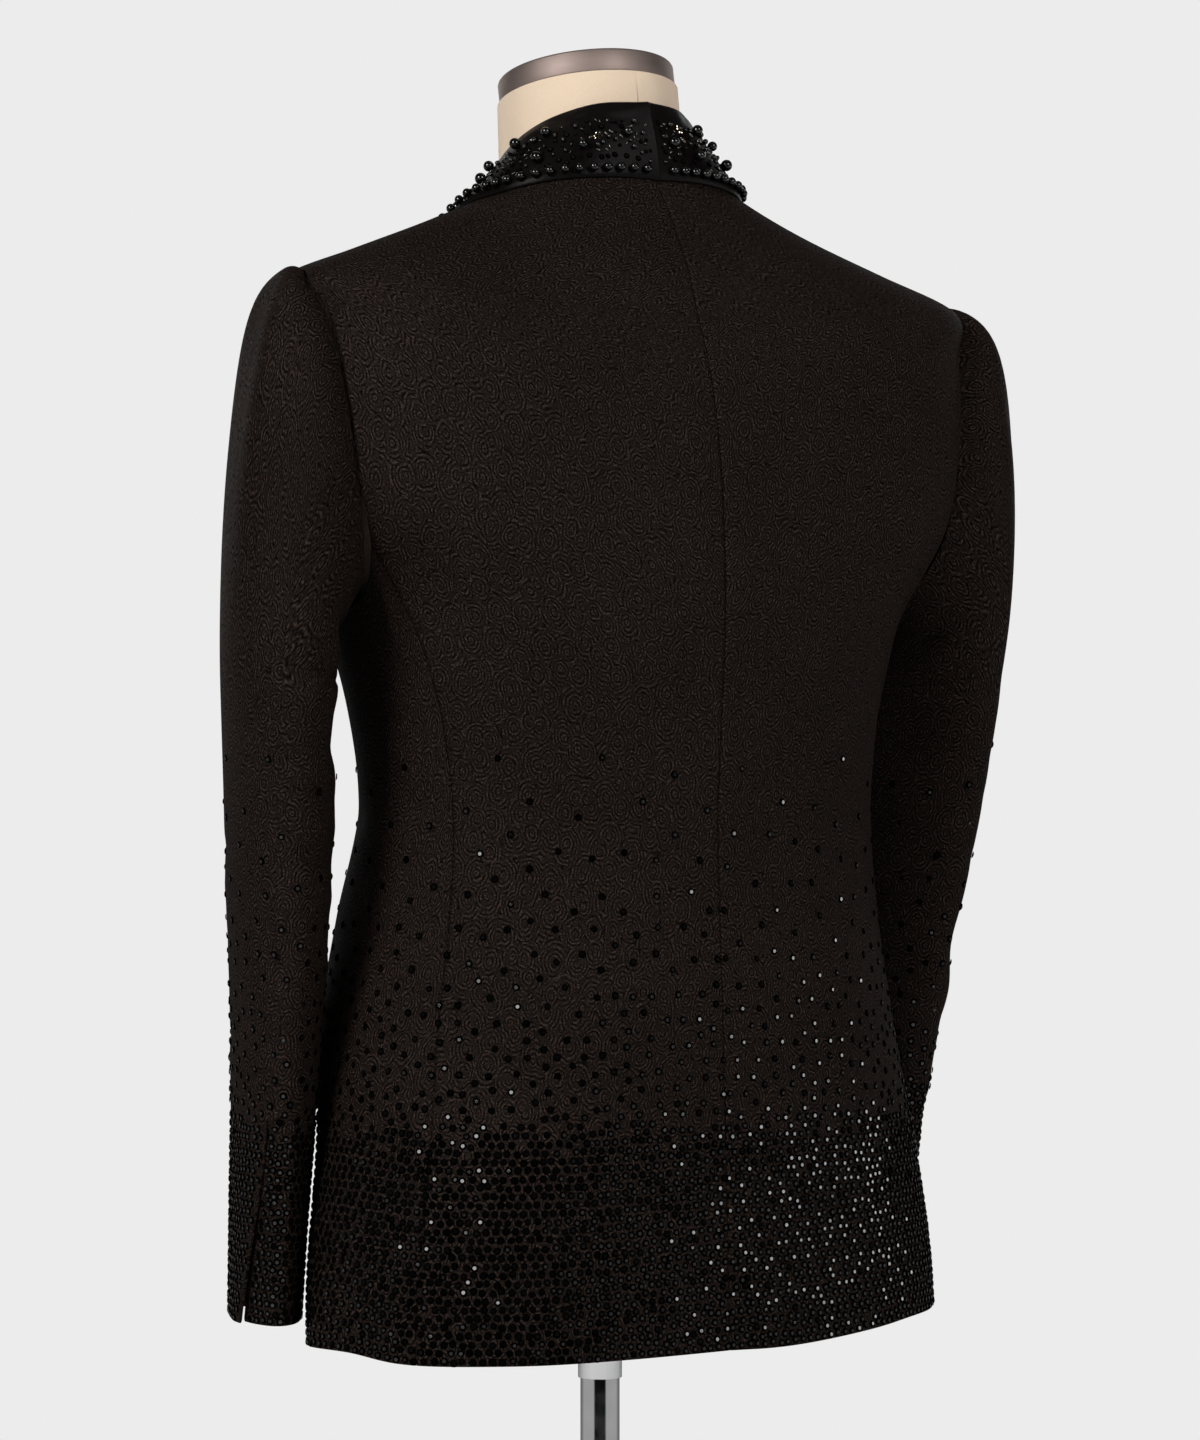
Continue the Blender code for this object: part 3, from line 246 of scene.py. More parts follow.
SHAWL_FOLDS = (  # way along, share of the width, reach along, reach across, lean, out
    (0.050, 0.93, 0.006, 0.10, 0.02, -0.0008),
    (0.066, 0.90, 0.004, 0.12, -0.03, 0.0006),
    (0.082, 0.94, 0.006, 0.09, 0.02, -0.0007),
    (0.020, 0.92, 0.007, 0.08, 0.00, 0.0004),
    (0.060, 0.84, 0.022, 0.05, 0.05, -0.0009),
    (0.094, 0.88, 0.010, 0.08, 0.04, 0.0008),
    (0.036, 0.88, 0.012, 0.05, -0.04, 0.0006),
    (0.300, 0.70, 0.030, 0.16, 0.05, -0.0008),
    (0.420, 0.60, 0.024, 0.18, 0.05, 0.0008),
)


def smooth_rows(rows, at):
    """Values of a table at a place in its first column, on a smooth curve through its rows."""
    table = np.array(rows, dtype=float)
    places, values = table[:, 0], table[:, 1:]
    steps = np.diff(places)[:, None]
    slopes = np.diff(values, axis=0) / steps
    tangents = np.empty_like(values)
    tangents[0], tangents[-1] = slopes[0], slopes[-1]
    tangents[1:-1] = (slopes[:-1] * steps[1:] + slopes[1:] * steps[:-1]) / (steps[:-1] + steps[1:])
    at = np.clip(np.asarray(at, dtype=float), places[0], places[-1])
    index = np.clip(np.searchsorted(places, at) - 1, 0, len(places) - 2)
    step = steps[index, 0]
    share = ((at - places[index]) / step)[..., None]
    step = step[..., None]
    return (
        values[index] * (2 * share**3 - 3 * share**2 + 1)
        + values[index + 1] * (3 * share**2 - 2 * share**3)
        + tangents[index] * step * (share**3 - 2 * share**2 + share)
        + tangents[index + 1] * step * (share**3 - share**2)
    )


def smooth_value(rows, at):
    return smooth_rows(rows, at)[..., 0]


def unit(vectors):
    return vectors / np.linalg.norm(vectors, axis=-1, keepdims=True)


def soft_step(value, low, high):
    share = np.clip((value - low) / (high - low), 0.0, 1.0)
    return share * share * (3 - 2 * share)


def run_along(points):
    """Distances along a row of points, or along each column of a grid, from the first."""
    steps = np.linalg.norm(np.diff(points, axis=0), axis=-1)
    return np.concatenate([np.zeros_like(steps[:1]), steps.cumsum(axis=0)])


def finer(values, count):
    """The same run of values, read at more places."""
    values = np.asarray(values, dtype=float)
    return np.interp(np.linspace(0, len(values) - 1, count), np.arange(len(values)), values)


def mirrored(points, side):
    return points * np.array([side, 1.0, 1.0])


def fold_height(rows, across, along):
    total = np.zeros(np.broadcast(across, along).shape)
    for middle_across, middle_along, across_reach, along_reach, lean, out in rows:
        away = (across - middle_across - lean * (along - middle_along)) / across_reach
        ahead = (along - middle_along) / along_reach
        total = total + out * np.exp(-(away**2) - ahead**2)
    return total


def surface_normal(surface, first, second, first_step, second_step):
    along_first = surface(first + first_step, second) - surface(first - first_step, second)
    along_second = surface(first, second + second_step) - surface(first, second - second_step)
    return -unit(np.cross(along_first, along_second))


# ---- the body surface -------------------------------------------------------------------------------------


def section_point(angle_degrees, section):
    """Point of a rounded section: 0 degrees is the centre back, 90 the side, 180 the centre front."""
    columns = np.moveaxis(section, -1, 0)
    side_x, side_y, side_z, back_y, back_z, front_y, front_z, back_square, front_square = columns
    angle = np.radians(angle_degrees)
    across, along = np.sin(angle), np.cos(angle)
    squareness = np.where(along > 0, back_square, front_square)
    size = (np.abs(across) ** squareness + np.abs(along) ** squareness) ** (1 / squareness)
    across, along = across / size, along / size
    depth = np.where(along > 0, back_y - side_y, side_y - front_y)
    centre_z = np.where(along > 0, back_z, front_z)
    height = centre_z + (side_z - centre_z) * across**2
    return np.stack([side_x * across, side_y + depth * along, height], axis=-1)


def body_plain(angle, level):
    angle, level = np.broadcast_arrays(np.asarray(angle, float), np.asarray(level, float))
    points = section_point(angle, smooth_rows(BODY_ROWS, level))
    drop = smooth_value(HEM_DROPS, np.abs(angle)) * (1 - soft_step(level, HEM_LEVEL, WAIST_LEVEL))
    points[..., 2] -= drop
    return points


def body_normal(angle, level):
    inside = np.clip(level, BODY_ROWS[0][0] + 0.001, NECK_LEVEL - 0.001)
    return surface_normal(body_plain, angle, inside, 0.4, 0.001)


def body_point(angle, level, out=0.0, creased=True):
    """Point of the coat's outer surface, moved outward by "out"."""
    angle, level = np.broadcast_arrays(np.asarray(angle, float), np.asarray(level, float))
    lift = fold_height(BODY_FOLDS, angle, level) + out
    if creased:
        lift = lift + fold_height(FINE_BODY_FOLDS, angle, level)
    return body_plain(angle, level) + body_normal(angle, level) * lift[..., None]


def hung(points, side):
    """A body piece on its side, with the right side's hem a little higher."""
    points = mirrored(points, side)
    if side < 0:
        low = 1 - soft_step(points[..., 2], HEM_LEVEL, RISE_TOP)
        points[..., 2] += RIGHT_HEM_RISE * low * soft_step(-points[..., 0], 0.02, 0.18)
    return points


def armhole_angle(level, back):
    reach = ARMHOLE_BACK_REACH if back else ARMHOLE_FRONT_REACH
    above = (level - ARMHOLE_MIDDLE_LEVEL) / (TIP_LEVEL - ARMHOLE_MIDDLE_LEVEL)
    below = (ARMHOLE_MIDDLE_LEVEL - level) / (ARMHOLE_MIDDLE_LEVEL - UNDERARM_LEVEL)
    share = np.clip(np.where(above > 0, above, below), 0.0, 1.0)
    width = reach * (1 - share**2) ** 0.5
    middle = ARMHOLE_ANGLE + (90.0 - ARMHOLE_ANGLE) * np.clip(above, 0.0, 1.0)
    return middle - width if back else middle + width


def armhole_level(angle):
    reach = np.where(angle < ARMHOLE_ANGLE, ARMHOLE_BACK_REACH, ARMHOLE_FRONT_REACH)
    share = np.clip(np.abs(angle - ARMHOLE_ANGLE) / reach, 0.0, 1.0)
    return ARMHOLE_MIDDLE_LEVEL - (ARMHOLE_MIDDLE_LEVEL - UNDERARM_LEVEL) * (1 - share**2) ** 0.5


def armhole_loop(turn_degrees):
    """Angle and level of the armhole seam: 0 degrees is the shoulder tip, 90 the back, 180 the underarm."""
    turn = np.radians(turn_degrees)
    upper = np.cos(turn) > 0
    height = np.where(upper, TIP_LEVEL - ARMHOLE_MIDDLE_LEVEL, ARMHOLE_MIDDLE_LEVEL - UNDERARM_LEVEL)
    level = ARMHOLE_MIDDLE_LEVEL + height * np.cos(turn)
    middle = ARMHOLE_ANGLE + (90.0 - ARMHOLE_ANGLE) * np.clip(np.cos(turn), 0.0, 1.0)
    reach = np.where(np.sin(turn) > 0, ARMHOLE_BACK_REACH, ARMHOLE_FRONT_REACH)
    return middle - reach * np.sin(turn), level


def seam_meets_armhole(seam, back):
    levels = np.linspace(UNDERARM_LEVEL, ARMHOLE_MIDDLE_LEVEL, 200)
    apart = smooth_value(seam, levels) - armhole_angle(levels, back)
    return levels[np.argmax(apart > 0 if back else apart < 0)]


BACK_MEETING = seam_meets_armhole(SIDE_BACK_SEAM, True)
FRONT_MEETING = seam_meets_armhole(SIDE_FRONT_SEAM, False)


def panel_levels(turning_level, count):
    lower = HEM_LEVEL + np.array(LOWER_SHARES) * (turning_level - HEM_LEVEL)
    upper = turning_level + np.array(UPPER_SHARES) * (TIP_LEVEL - turning_level)
    neck = np.linspace(TIP_LEVEL, NECK_LEVEL, NECK_ROWS + 1)[1:]
    return finer(np.concatenate([lower, upper, neck]), count)


def outer_seam_angle(levels, seam, back):
    on_armhole = np.where(levels >= TIP_LEVEL, 90.0, armhole_angle(levels, back))
    return np.where(levels <= seam_meets_armhole(seam, back), smooth_value(seam, levels), on_armhole)


def front_edge_angle(levels):
    """The front edge: rounded at the hem, straight to the break, then close under the roll of the lapel."""
    down = np.clip((CUTAWAY_START - levels) / (CUTAWAY_START - HEM_LEVEL), 0.0, 1.0)
    closed = 180.0 + FRONT_OVERLAP
    lower = CUTAWAY_ANGLE + (closed - CUTAWAY_ANGLE) * (1 - down**2.4) ** (1 / 2.4)
    roll = [(row[3], row[2] - ROLL_SETBACK) for row in reversed(SHAWL_ROWS) if row[3] < NECK_LEVEL]
    roll = [(CLOSING_LEVEL, closed)] + roll + [(NECK_LEVEL, 116.0)]
    return np.where(levels < CLOSING_LEVEL, lower, smooth_value(roll, levels))


def closing_lift(angle, level, side):
    """How far the left front stands off the body where it lies over the right one."""
    if side < 0:
        return np.zeros(np.broadcast(angle, level).shape)
    return CLOSING_LIFT * soft_step(angle, 160.0, 172.0) * (1 - soft_step(level, 1.10, 1.24))


# ---- the sleeve surface -----------------------------------------------------------------------------------


def sleeve_ring_point(turn_degrees, height):
    centre_x, centre_y, half_width, half_depth = np.moveaxis(smooth_rows(SLEEVE_ROWS[::-1], height), -1, 0)
    turn = np.radians(turn_degrees)
    outward, back = half_width * np.cos(turn), half_depth * np.sin(turn)
    x = centre_x + outward * math.cos(SLEEVE_TURN) + back * math.sin(SLEEVE_TURN)
    y = centre_y - outward * math.sin(SLEEVE_TURN) + back * math.cos(SLEEVE_TURN)
    return np.stack([x, y, np.broadcast_to(height, x.shape)], axis=-1)


def sleeve_start(turn_degrees):
    angle, level = armhole_loop(turn_degrees)
    seam = body_plain(angle, level)
    normal = body_normal(angle, level)
    middle = body_plain(np.array(ARMHOLE_ANGLE), np.array(1.345))
    towards = middle - seam
    towards = unit(towards - normal * np.sum(towards * normal, axis=-1, keepdims=True))
    under = soft_step(-np.cos(np.radians(turn_degrees)), -0.1, 0.6)[..., None]
    return seam + towards * (SLEEVE_INSET + 0.0008 * under) + normal * (0.0001 + 0.0024 * under)


def sleeve_plain(turn_degrees, down):
    """Point of the left sleeve: turn 0 is its outside, 90 its back; down goes from 0 at the seam to 1."""
    turn_degrees, down = np.broadcast_arrays(np.asarray(turn_degrees, float), np.asarray(down, float))
    turn = np.radians(turn_degrees)
    height = CAP_LOWEST + (CUFF_HEIGHT - CAP_LOWEST) * np.clip((down - CAP_SHARE) / (1 - CAP_SHARE), 0.0, None)
    ring = sleeve_ring_point(turn_degrees, height)
    start = sleeve_start(turn_degrees)
    end = sleeve_ring_point(turn_degrees, np.full(turn.shape, CAP_LOWEST))
    below = sleeve_ring_point(turn_degrees, np.full(turn.shape, CAP_LOWEST - 0.01))
    up_share = np.clip(np.cos(turn), 0.0, 1.0)
    under_share = np.clip(-np.cos(turn), 0.0, 1.0)
    behind = np.clip(np.sin(turn), 0.0, 1.0)
    ahead = np.clip(-np.sin(turn), 0.0, 1.0)
    shares = np.stack([up_share, 1 - up_share, under_share, behind, ahead], axis=-1)
    leave = unit(np.array(LEAVING_EVERYWHERE) + shares @ np.array(LEAVING_BY_PLACE))
    reach = np.linalg.norm(end - start, axis=-1, keepdims=True)
    leaving = leave * (HEAD_FULLNESS + (HEAD_REACH - HEAD_REACH_LOST_AHEAD * ahead[..., None]) * reach)
    arriving = unit(below - end) * reach * HEAD_ARRIVAL
    share = np.clip(down / CAP_SHARE, 0.0, 1.0)[..., None]
    cap = (
        start * (2 * share**3 - 3 * share**2 + 1)
        + end * (3 * share**2 - 2 * share**3)
        + leaving * (share**3 - 2 * share**2 + share)
        + arriving * (share**3 - share**2)
    )
    cap[..., 1:2] += CAP_SWING * up_share[..., None] * 6.75 * share * (1 - share) ** 2
    return np.where((down < CAP_SHARE)[..., None], cap, ring)


def sleeve_normal(turn, down):
    return surface_normal(sleeve_plain, turn, np.clip(down, 0.006, 1.0), 0.5, 0.005)


def sleeve_point(turn, down, out=0.0):
    turn, down = np.broadcast_arrays(np.asarray(turn, float), np.asarray(down, float))
    folds = fold_height(SLEEVE_FOLDS, turn, down) + fold_height(FINE_SLEEVE_FOLDS, turn, down)
    lift = folds * soft_step(down, 0.0, 0.15) + out
    return sleeve_plain(turn, down) + sleeve_normal(turn, down) * lift[..., None]


# ---- the shawl surface ------------------------------------------------------------------------------------

SHAWL_TABLE = np.array([(place,) + row for place, row in enumerate(SHAWL_ROWS)])
SHAWL_FINE = np.linspace(0, len(SHAWL_ROWS) - 1, 1200)
SHAWL_EDGE = body_plain(*np.moveaxis(smooth_rows(SHAWL_TABLE, SHAWL_FINE)[..., :2], -1, 0))
SHAWL_RUN = run_along(SHAWL_EDGE)
SHAWL_LENGTH = SHAWL_RUN[-1]


def shawl_stations(along):
    """Rows of the shawl's table at distances along its outer edge from the centre back."""
    return smooth_rows(SHAWL_TABLE, np.interp(along, SHAWL_RUN, SHAWL_FINE))


def shawl_surface(stations, share, side, out=0.0):
    """Point of the fall or lapel at a share of its width from the outer edge to the roll."""
    edge_angle, edge_level, roll_angle, roll_level = np.moveaxis(stations[..., :4], -1, 0)
    crest, free = stations[..., 4:7], stations[..., 7:8]
    angle = edge_angle + (roll_angle - edge_angle) * share
    level = edge_level + (roll_level - edge_level) * share
    lift = SHAWL_LIFT + out + closing_lift(angle, level, side) + LAPEL_BELLY * 4 * share * (1 - share)
    lying = body_point(angle, level, lift, creased=False)
    lift_at_edge = SHAWL_LIFT + out + closing_lift(edge_angle, edge_level, side)
    edge = body_point(edge_angle, edge_level, lift_at_edge, creased=False)
    outward = unit(crest * np.array([1.0, 1.0, 0.0]) - np.array([0.0, NECK_CENTRE_Y, 0.0]) + 1e-9)
    top = crest + outward * np.asarray(out)[..., None]
    share = np.asarray(share)[..., None]
    standing = edge + (top - edge) * share + outward * COLLAR_BULGE * 4 * share * (1 - share)
    return lying + (standing - lying) * free * soft_step(share, 0.0, 0.35)


def shawl_point(along, share, side, out=0.0):
    """Point of the shawl by its distance along the edge and share of the width, creased, on its own side."""
    along, share = np.broadcast_arrays(np.asarray(along, float), np.asarray(share, float))
    crease = fold_height(SHAWL_FOLDS, along, share)
    return mirrored(shawl_surface(shawl_stations(along), share, side, out + crease), side)


def shawl_width(along, side):
    stations = shawl_stations(along)
    far = shawl_surface(stations, np.ones(np.shape(along)), side)
    return np.linalg.norm(far - shawl_surface(stations, np.zeros(np.shape(along)), side), axis=-1)


def shawl_normal(along, share, side):
    def point(first, second):
        return shawl_point(first, second, side)

    return side * surface_normal(point, np.clip(along, 0.002, None), np.clip(share, 0.02, 0.98), 0.001, 0.01)


# ---- meshes -----------------------------------------------------------------------------------------------


def add_to_scene(name, data):
    thing = bpy.data.objects.new(name, data)
    bpy.context.scene.collection.objects.link(thing)
    return thing


def add_piece(name, points, faces, material, uv=None, smooth=True, closed=True, second=None, stands_for=None):
    """A piece from points and groups of faces, which rides with the rest and may stand for a solid.

    The last group of faces takes the material, and with a second material the other groups take that."""
    mesh = bpy.data.meshes.new(name)
    points = np.asarray(points, dtype=float)
    faces = [np.asarray(group) for group in faces]
    corners = np.concatenate([group.ravel() for group in faces])
    sizes = np.concatenate([np.full(len(group), group.shape[1]) for group in faces])
    mesh.vertices.add(len(points))
    mesh.vertices.foreach_set("co", points.ravel())
    mesh.loops.add(len(corners))
    mesh.loops.foreach_set("vertex_index", corners.astype(np.int32))
    mesh.polygons.add(len(sizes))
    mesh.polygons.foreach_set("loop_start", (np.cumsum(sizes) - sizes).astype(np.int32))
    if second is not None:
        last = len(faces[-1])
        mesh.polygons.foreach_set("material_index", np.repeat([1, 0], [len(sizes) - last, last]))
    mesh.update(calc_edges=True)
    mesh.validate()
    if uv is not None:
        layer = mesh.uv_layers.new(name="Cloth")
        corner_points = np.empty(len(mesh.loops), dtype=np.int32)
        mesh.loops.foreach_get("vertex_index", corner_points)
        layer.data.foreach_set("uv", np.asarray(uv, dtype=float)[corner_points].ravel())
    if closed:
        shell = bmesh.new()
        shell.from_mesh(mesh)
        bmesh.ops.recalc_face_normals(shell, faces=shell.faces)
        if shell.calc_volume(signed=True) < 0:
            bmesh.ops.reverse_faces(shell, faces=shell.faces)
        shell.to_mesh(mesh)
        shell.free()
    if smooth:
        mesh.shade_smooth()
        mesh.set_sharp_from_angle(angle=math.radians(50))
    else:
        mesh.shade_flat()
    mesh.materials.append(material)
    if second is not None:
        mesh.materials.append(second)
    piece = add_to_scene(name, mesh)
    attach(piece, "root")
    if stands_for:
        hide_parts(stands_for)
    return piece


def grid_quads(rows, columns, start=0):
    r, c = np.meshgrid(np.arange(rows - 1), np.arange(columns - 1), indexing="ij")
    first = (start + r * columns + c).ravel()
    return np.stack([first, first + 1, first + columns + 1, first + columns], axis=1)


def rim_numbers(rows, columns):
    top = np.arange(columns)
    right = np.arange(1, rows) * columns + columns - 1
    bottom = (rows - 1) * columns + np.arange(columns - 2, -1, -1)
    left = np.arange(rows - 2, 0, -1) * columns
    return np.concatenate([top, right, bottom, left])


def cloth_uv(points):
    """Distances along a grid of points, in metres, from its middle column and first row."""
    across = run_along(points.swapaxes(0, 1)).T
    across = across - across[:, across.shape[1] // 2][:, None]
    steps = np.percentile(np.linalg.norm(np.diff(points, axis=0), axis=-1), 30, axis=1)
    along = np.concatenate([[0.0], steps.cumsum()])[:, None] * np.ones(across.shape)
    return np.stack([across, along], axis=-1)


def add_wall(name, outer, inner, material, stands_for):
    """A thin shell of cloth between two grids of points."""
    rows, columns, _ = outer.shape
    count = rows * columns
    rim = rim_numbers(rows, columns)
    after = np.roll(rim, -1)
    edge = np.stack([after, rim, rim + count, after + count], axis=1)
    quads = np.concatenate([grid_quads(rows, columns), grid_quads(rows, columns, count)[:, ::-1], edge])
    flat = cloth_uv(outer).reshape(-1, 2)
    points = np.concatenate([outer.reshape(-1, 3), inner.reshape(-1, 3)])
    return add_piece(name, points, [quads], material, uv=np.concatenate([flat, flat]), stands_for=stands_for)


def lathe_faces(rings, sides):
    r, s = np.meshgrid(np.arange(rings - 1), np.arange(sides), indexing="ij")
    first, after = (r * sides + s).ravel(), (r * sides + (s + 1) % sides).ravel()
    return np.stack([first, after, after + sides, first + sides], axis=1)


def ring_lids(count, sides):
    """The flat faces on the first and the last ring of a stack."""
    return [np.arange(sides)[None, ::-1], (count - 1) * sides + np.arange(sides)[None]]


def add_stack(name, rings, material, stands_for):
    """A closed body through rings of points, with a flat face on the first and the last ring."""
    rings = np.asarray(rings)
    count, sides, _ = rings.shape
    around = np.linspace(0, 1, sides, endpoint=False)[None, :] * np.ones((count, 1))
    radius = np.linalg.norm(rings[:, :, :2] - rings[:, :, :2].mean(axis=1, keepdims=True), axis=-1).max()
    uv = np.stack([around * 2 * math.pi * radius, rings[..., 2]], axis=-1).reshape(-1, 2)
    faces = [lathe_faces(count, sides)] + ring_lids(count, sides)
    return add_piece(name, rings.reshape(-1, 3), faces, material, uv, stands_for=stands_for)


# ---- shader nodes -----------------------------------------------------------------------------------------


def node(tree, kind, inputs, **settings):
    """A shader node, with its settings and with its inputs given as sockets or as values."""
    made = tree.nodes.new(kind)
    for key, value in settings.items():
        setattr(made, key, value)
    for key, value in inputs.items():
        if isinstance(value, bpy.types.NodeSocket):
            tree.links.new(value, made.inputs[key])
        else:
            made.inputs[key].default_value = value
    return made


def sums(tree, operation, first, second=0.0, third=0.0):
    return node(tree, "ShaderNodeMath", {0: first, 1: second, 2: third}, operation=operation).outputs[0]


def times(tree, first, second):
    return sums(tree, "MULTIPLY", first, second)


def vectors(tree, operation, first, second):
    return node(tree, "ShaderNodeVectorMath", {0: first, 1: second}, operation=operation).outputs


def noise(tree, place, scale, detail, output="Fac", **more):
    inputs = {"Vector": place, "Scale": scale, "Detail": detail, **more}
    return node(tree, "ShaderNodeTexNoise", inputs).outputs[output]


def between(tree, value, low, high, to_low=0.0, to_high=1.0):
    """A value moved from one range to another, with soft ends."""
    inputs = {"Value": value, "From Min": low, "From Max": high, "To Min": to_low, "To Max": to_high}
    return node(tree, "ShaderNodeMapRange", inputs, interpolation_type="SMOOTHSTEP").outputs["Result"]


def blended(tree, share, first, second):
    """One colour turning into another by a share; a colour is a socket or three numbers."""
    first, second = [(*colour, 1.0) if isinstance(colour, tuple) else colour for colour in (first, second)]
    return node(tree, "ShaderNodeMix", {0: share, 6: first, 7: second}, data_type="RGBA").outputs[2]


def new_group(name, inputs, outputs):
    """An empty group with named inputs and outputs: its tree, what comes in, and what goes out."""
    tree = bpy.data.node_groups.new(name, "ShaderNodeTree")
    for label, kind, value in inputs:
        socket = tree.interface.new_socket(label, in_out="INPUT", socket_type="NodeSocket" + kind)
        if value is not None:
            socket.default_value = value
    for label, kind in outputs:
        tree.interface.new_socket(label, in_out="OUTPUT", socket_type="NodeSocket" + kind)
    return tree, tree.nodes.new("NodeGroupInput").outputs, tree.nodes.new("NodeGroupOutput").inputs


def make_thread_group():
    """Crossing threads: how high they stand, from a place on the flat cloth."""
    tree, given, result = new_group(
        "crossing_threads",
        [("Place", "Vector", None), ("Across Pitch", "Float", 0.0005), ("Along Pitch", "Float", 0.0005),
         ("Along Share", "Float", 0.5)],
        [("Height", "Float")])
    parts = node(tree, "ShaderNodeSeparateXYZ", {0: given["Place"]}).outputs
    waves = []
    for part, pitch in ((parts[0], given["Across Pitch"]), (parts[1], given["Along Pitch"])):
        turns = times(tree, sums(tree, "DIVIDE", part, pitch), 2 * math.pi)
        waves.append(sums(tree, "MULTIPLY_ADD", sums(tree, "SINE", turns), 0.5, 0.5))
    across = times(tree, waves[0], sums(tree, "SUBTRACT", 1.0, given["Along Share"]))
    along = times(tree, waves[1], given["Along Share"])
    tree.links.new(sums(tree, "ADD", across, along), result["Height"])
    return tree


def make_handling_group():
    """Slow change over a surface, such as cloth or metal gets from being handled."""
    tree, given, result = new_group(
        "handling",
        [("Size", "Float", 0.05), ("Fineness", "Float", 4.0), ("Low", "Float", 0.0), ("High", "Float", 1.0)],
        [("Value", "Float")])
    place = node(tree, "ShaderNodeTexCoord", {}).outputs["Object"]
    change = noise(tree, place, sums(tree, "DIVIDE", 1.0, given["Size"]), given["Fineness"])
    tree.links.new(between(tree, change, 0.3, 0.7, given["Low"], given["High"]), result["Value"])
    return tree


THREADS = make_thread_group()
HANDLING = make_handling_group()


def from_group(tree, group, **inputs):
    """What a group puts out in this material for these values."""
    inputs = {name.replace("_", " "): value for name, value in inputs.items()}
    return node(tree, "ShaderNodeGroup", inputs, node_tree=group).outputs[0]


def handling(tree, size, fineness):
    return from_group(tree, HANDLING, Size=size, Fineness=fineness, Low=0.0, High=1.0)


def new_finish(name, **values):
    """A material: its tree and its shader, with the plain values set."""
    material = bpy.data.materials.new(name)
    material.use_nodes = True
    shader = material.node_tree.nodes["Principled BSDF"]
    for key, value in values.items():
        shader.inputs[key.replace("_", " ")].default_value = value
    return material, material.node_tree, shader


def finished(tree, shader, colour, roughness, height=None, depth=0.0):
    """A shader's changing inputs: its colour, its roughness and how far its surface stands up."""
    tree.links.new(colour, shader.inputs["Base Color"])
    tree.links.new(roughness, shader.inputs["Roughness"])
    if height is not None:
        bump = node(tree, "ShaderNodeBump", {"Height": height, "Distance": depth, "Strength": 1.0})
        tree.links.new(bump.outputs["Normal"], shader.inputs["Normal"])


def cloth_place(tree):
    return node(tree, "ShaderNodeUVMap", {}, uv_map="Cloth").outputs["UV"]


FIGURE_SIZE = 0.0125  # one ringed figure of the jacquard, across the cloth
FIGURE_TALLNESS = 1.35
RING_PITCH = 0.0020


def bent_place(tree, place, scale, reach):
    """A place on the cloth, pushed about by noise."""
    centred = vectors(tree, "ADD", noise(tree, place, scale, 1.0, "Color"), (-0.5, -0.5, -0.5))[0]
    return vectors(tree, "ADD", place, vectors(tree, "MULTIPLY", centred, (reach, reach, 0.0))[0])[0]


def make_jacquard():
    """Black cloth with light and sunk rings, nested and taller than wide, over a mottled weave. The light rings are
    partly woven and partly painted sheen, and the sunk rings are coloured near black as painted shade in their
    grooves.
    """
    material, tree, shader = new_finish("jacquard_cloth", Specular_IOR_Level=0.03)
    place = cloth_place(tree)
    flattened = vectors(tree, "MULTIPLY", place, (1.0, 1 / FIGURE_TALLNESS, 1.0))[0]
    bent = bent_place(tree, bent_place(tree, flattened, 150.0, 0.0030), 800.0, 0.0007)
    cells = node(tree, "ShaderNodeTexVoronoi", {"Vector": bent, "Scale": 1 / FIGURE_SIZE, "Randomness": 0.9},
                 voronoi_dimensions="2D")
    turns = times(tree, cells.outputs["Distance"], 2 * math.pi * FIGURE_SIZE / RING_PITCH)
    waves = sums(tree, "COSINE", turns)
    drawn = between(tree, noise(tree, place, 260.0, 1.0), 0.34, 0.60)
    ridges = times(tree, between(tree, times(tree, waves, -1.0), 0.0, 0.95), drawn)
    sunk = times(tree, between(tree, waves, 0.45, 0.98), drawn)
    grain = between(tree, noise(tree, place, 900.0, 2.0, Roughness=0.7), 0.36, 0.66)
    mottled = times(tree, grain, sums(tree, "MULTIPLY_ADD", ridges, 0.78, 0.30))
    threads = from_group(tree, THREADS, Place=place, Across_Pitch=0.00062, Along_Pitch=0.00048, Along_Share=0.55)
    handled = handling(tree, 0.09, 3.0)
    low = blended(tree, handled, (0.0026, 0.0018, 0.0014), (0.0036, 0.0025, 0.0019))
    # colour of the raised ring lines: partly the woven figure, partly painted sheen where they catch the light
    high = blended(tree, handled, (0.0418, 0.0278, 0.0224), (0.0490, 0.0331, 0.0272))
    # the sunk grooves take a near-black colour: painted shade in the grooves, besides their real dip in the bump
    colour = blended(tree, sunk, blended(tree, mottled, low, high), (0.0016, 0.0011, 0.0008))
    raised = sums(tree, "SUBTRACT", times(tree, noise(tree, flattened, 120.0, 1.0), 1.6), sunk)
    height = sums(tree, "MULTIPLY_ADD", threads, 0.2, sums(tree, "MULTIPLY_ADD", mottled, 0.3, raised))
    finished(tree, shader, colour, between(tree, sunk, 0.0, 1.0, 0.62, 0.85), height, 0.00030)
    return material


def make_satin():
    """Black satin: smooth long floats one way, so its threads hardly show."""
    material, tree, shader = new_finish("black_satin", Specular_IOR_Level=0.08)
    place = cloth_place(tree)
    threads = from_group(tree, THREADS, Place=place, Across_Pitch=0.0004, Along_Pitch=0.0009, Along_Share=0.25)
    handled = handling(tree, 0.045, 4.0)
    colour = blended(tree, handled, (0.0020, 0.0014, 0.0013), (0.0034, 0.0024, 0.0022))
    height = sums(tree, "MULTIPLY_ADD", noise(tree, place, 160.0, 2.0), 2.0, times(tree, threads, 0.25))
    finished(tree, shader, colour, between(tree, handled, 0.0, 1.0, 0.34, 0.44), height, 0.00010)
    return material


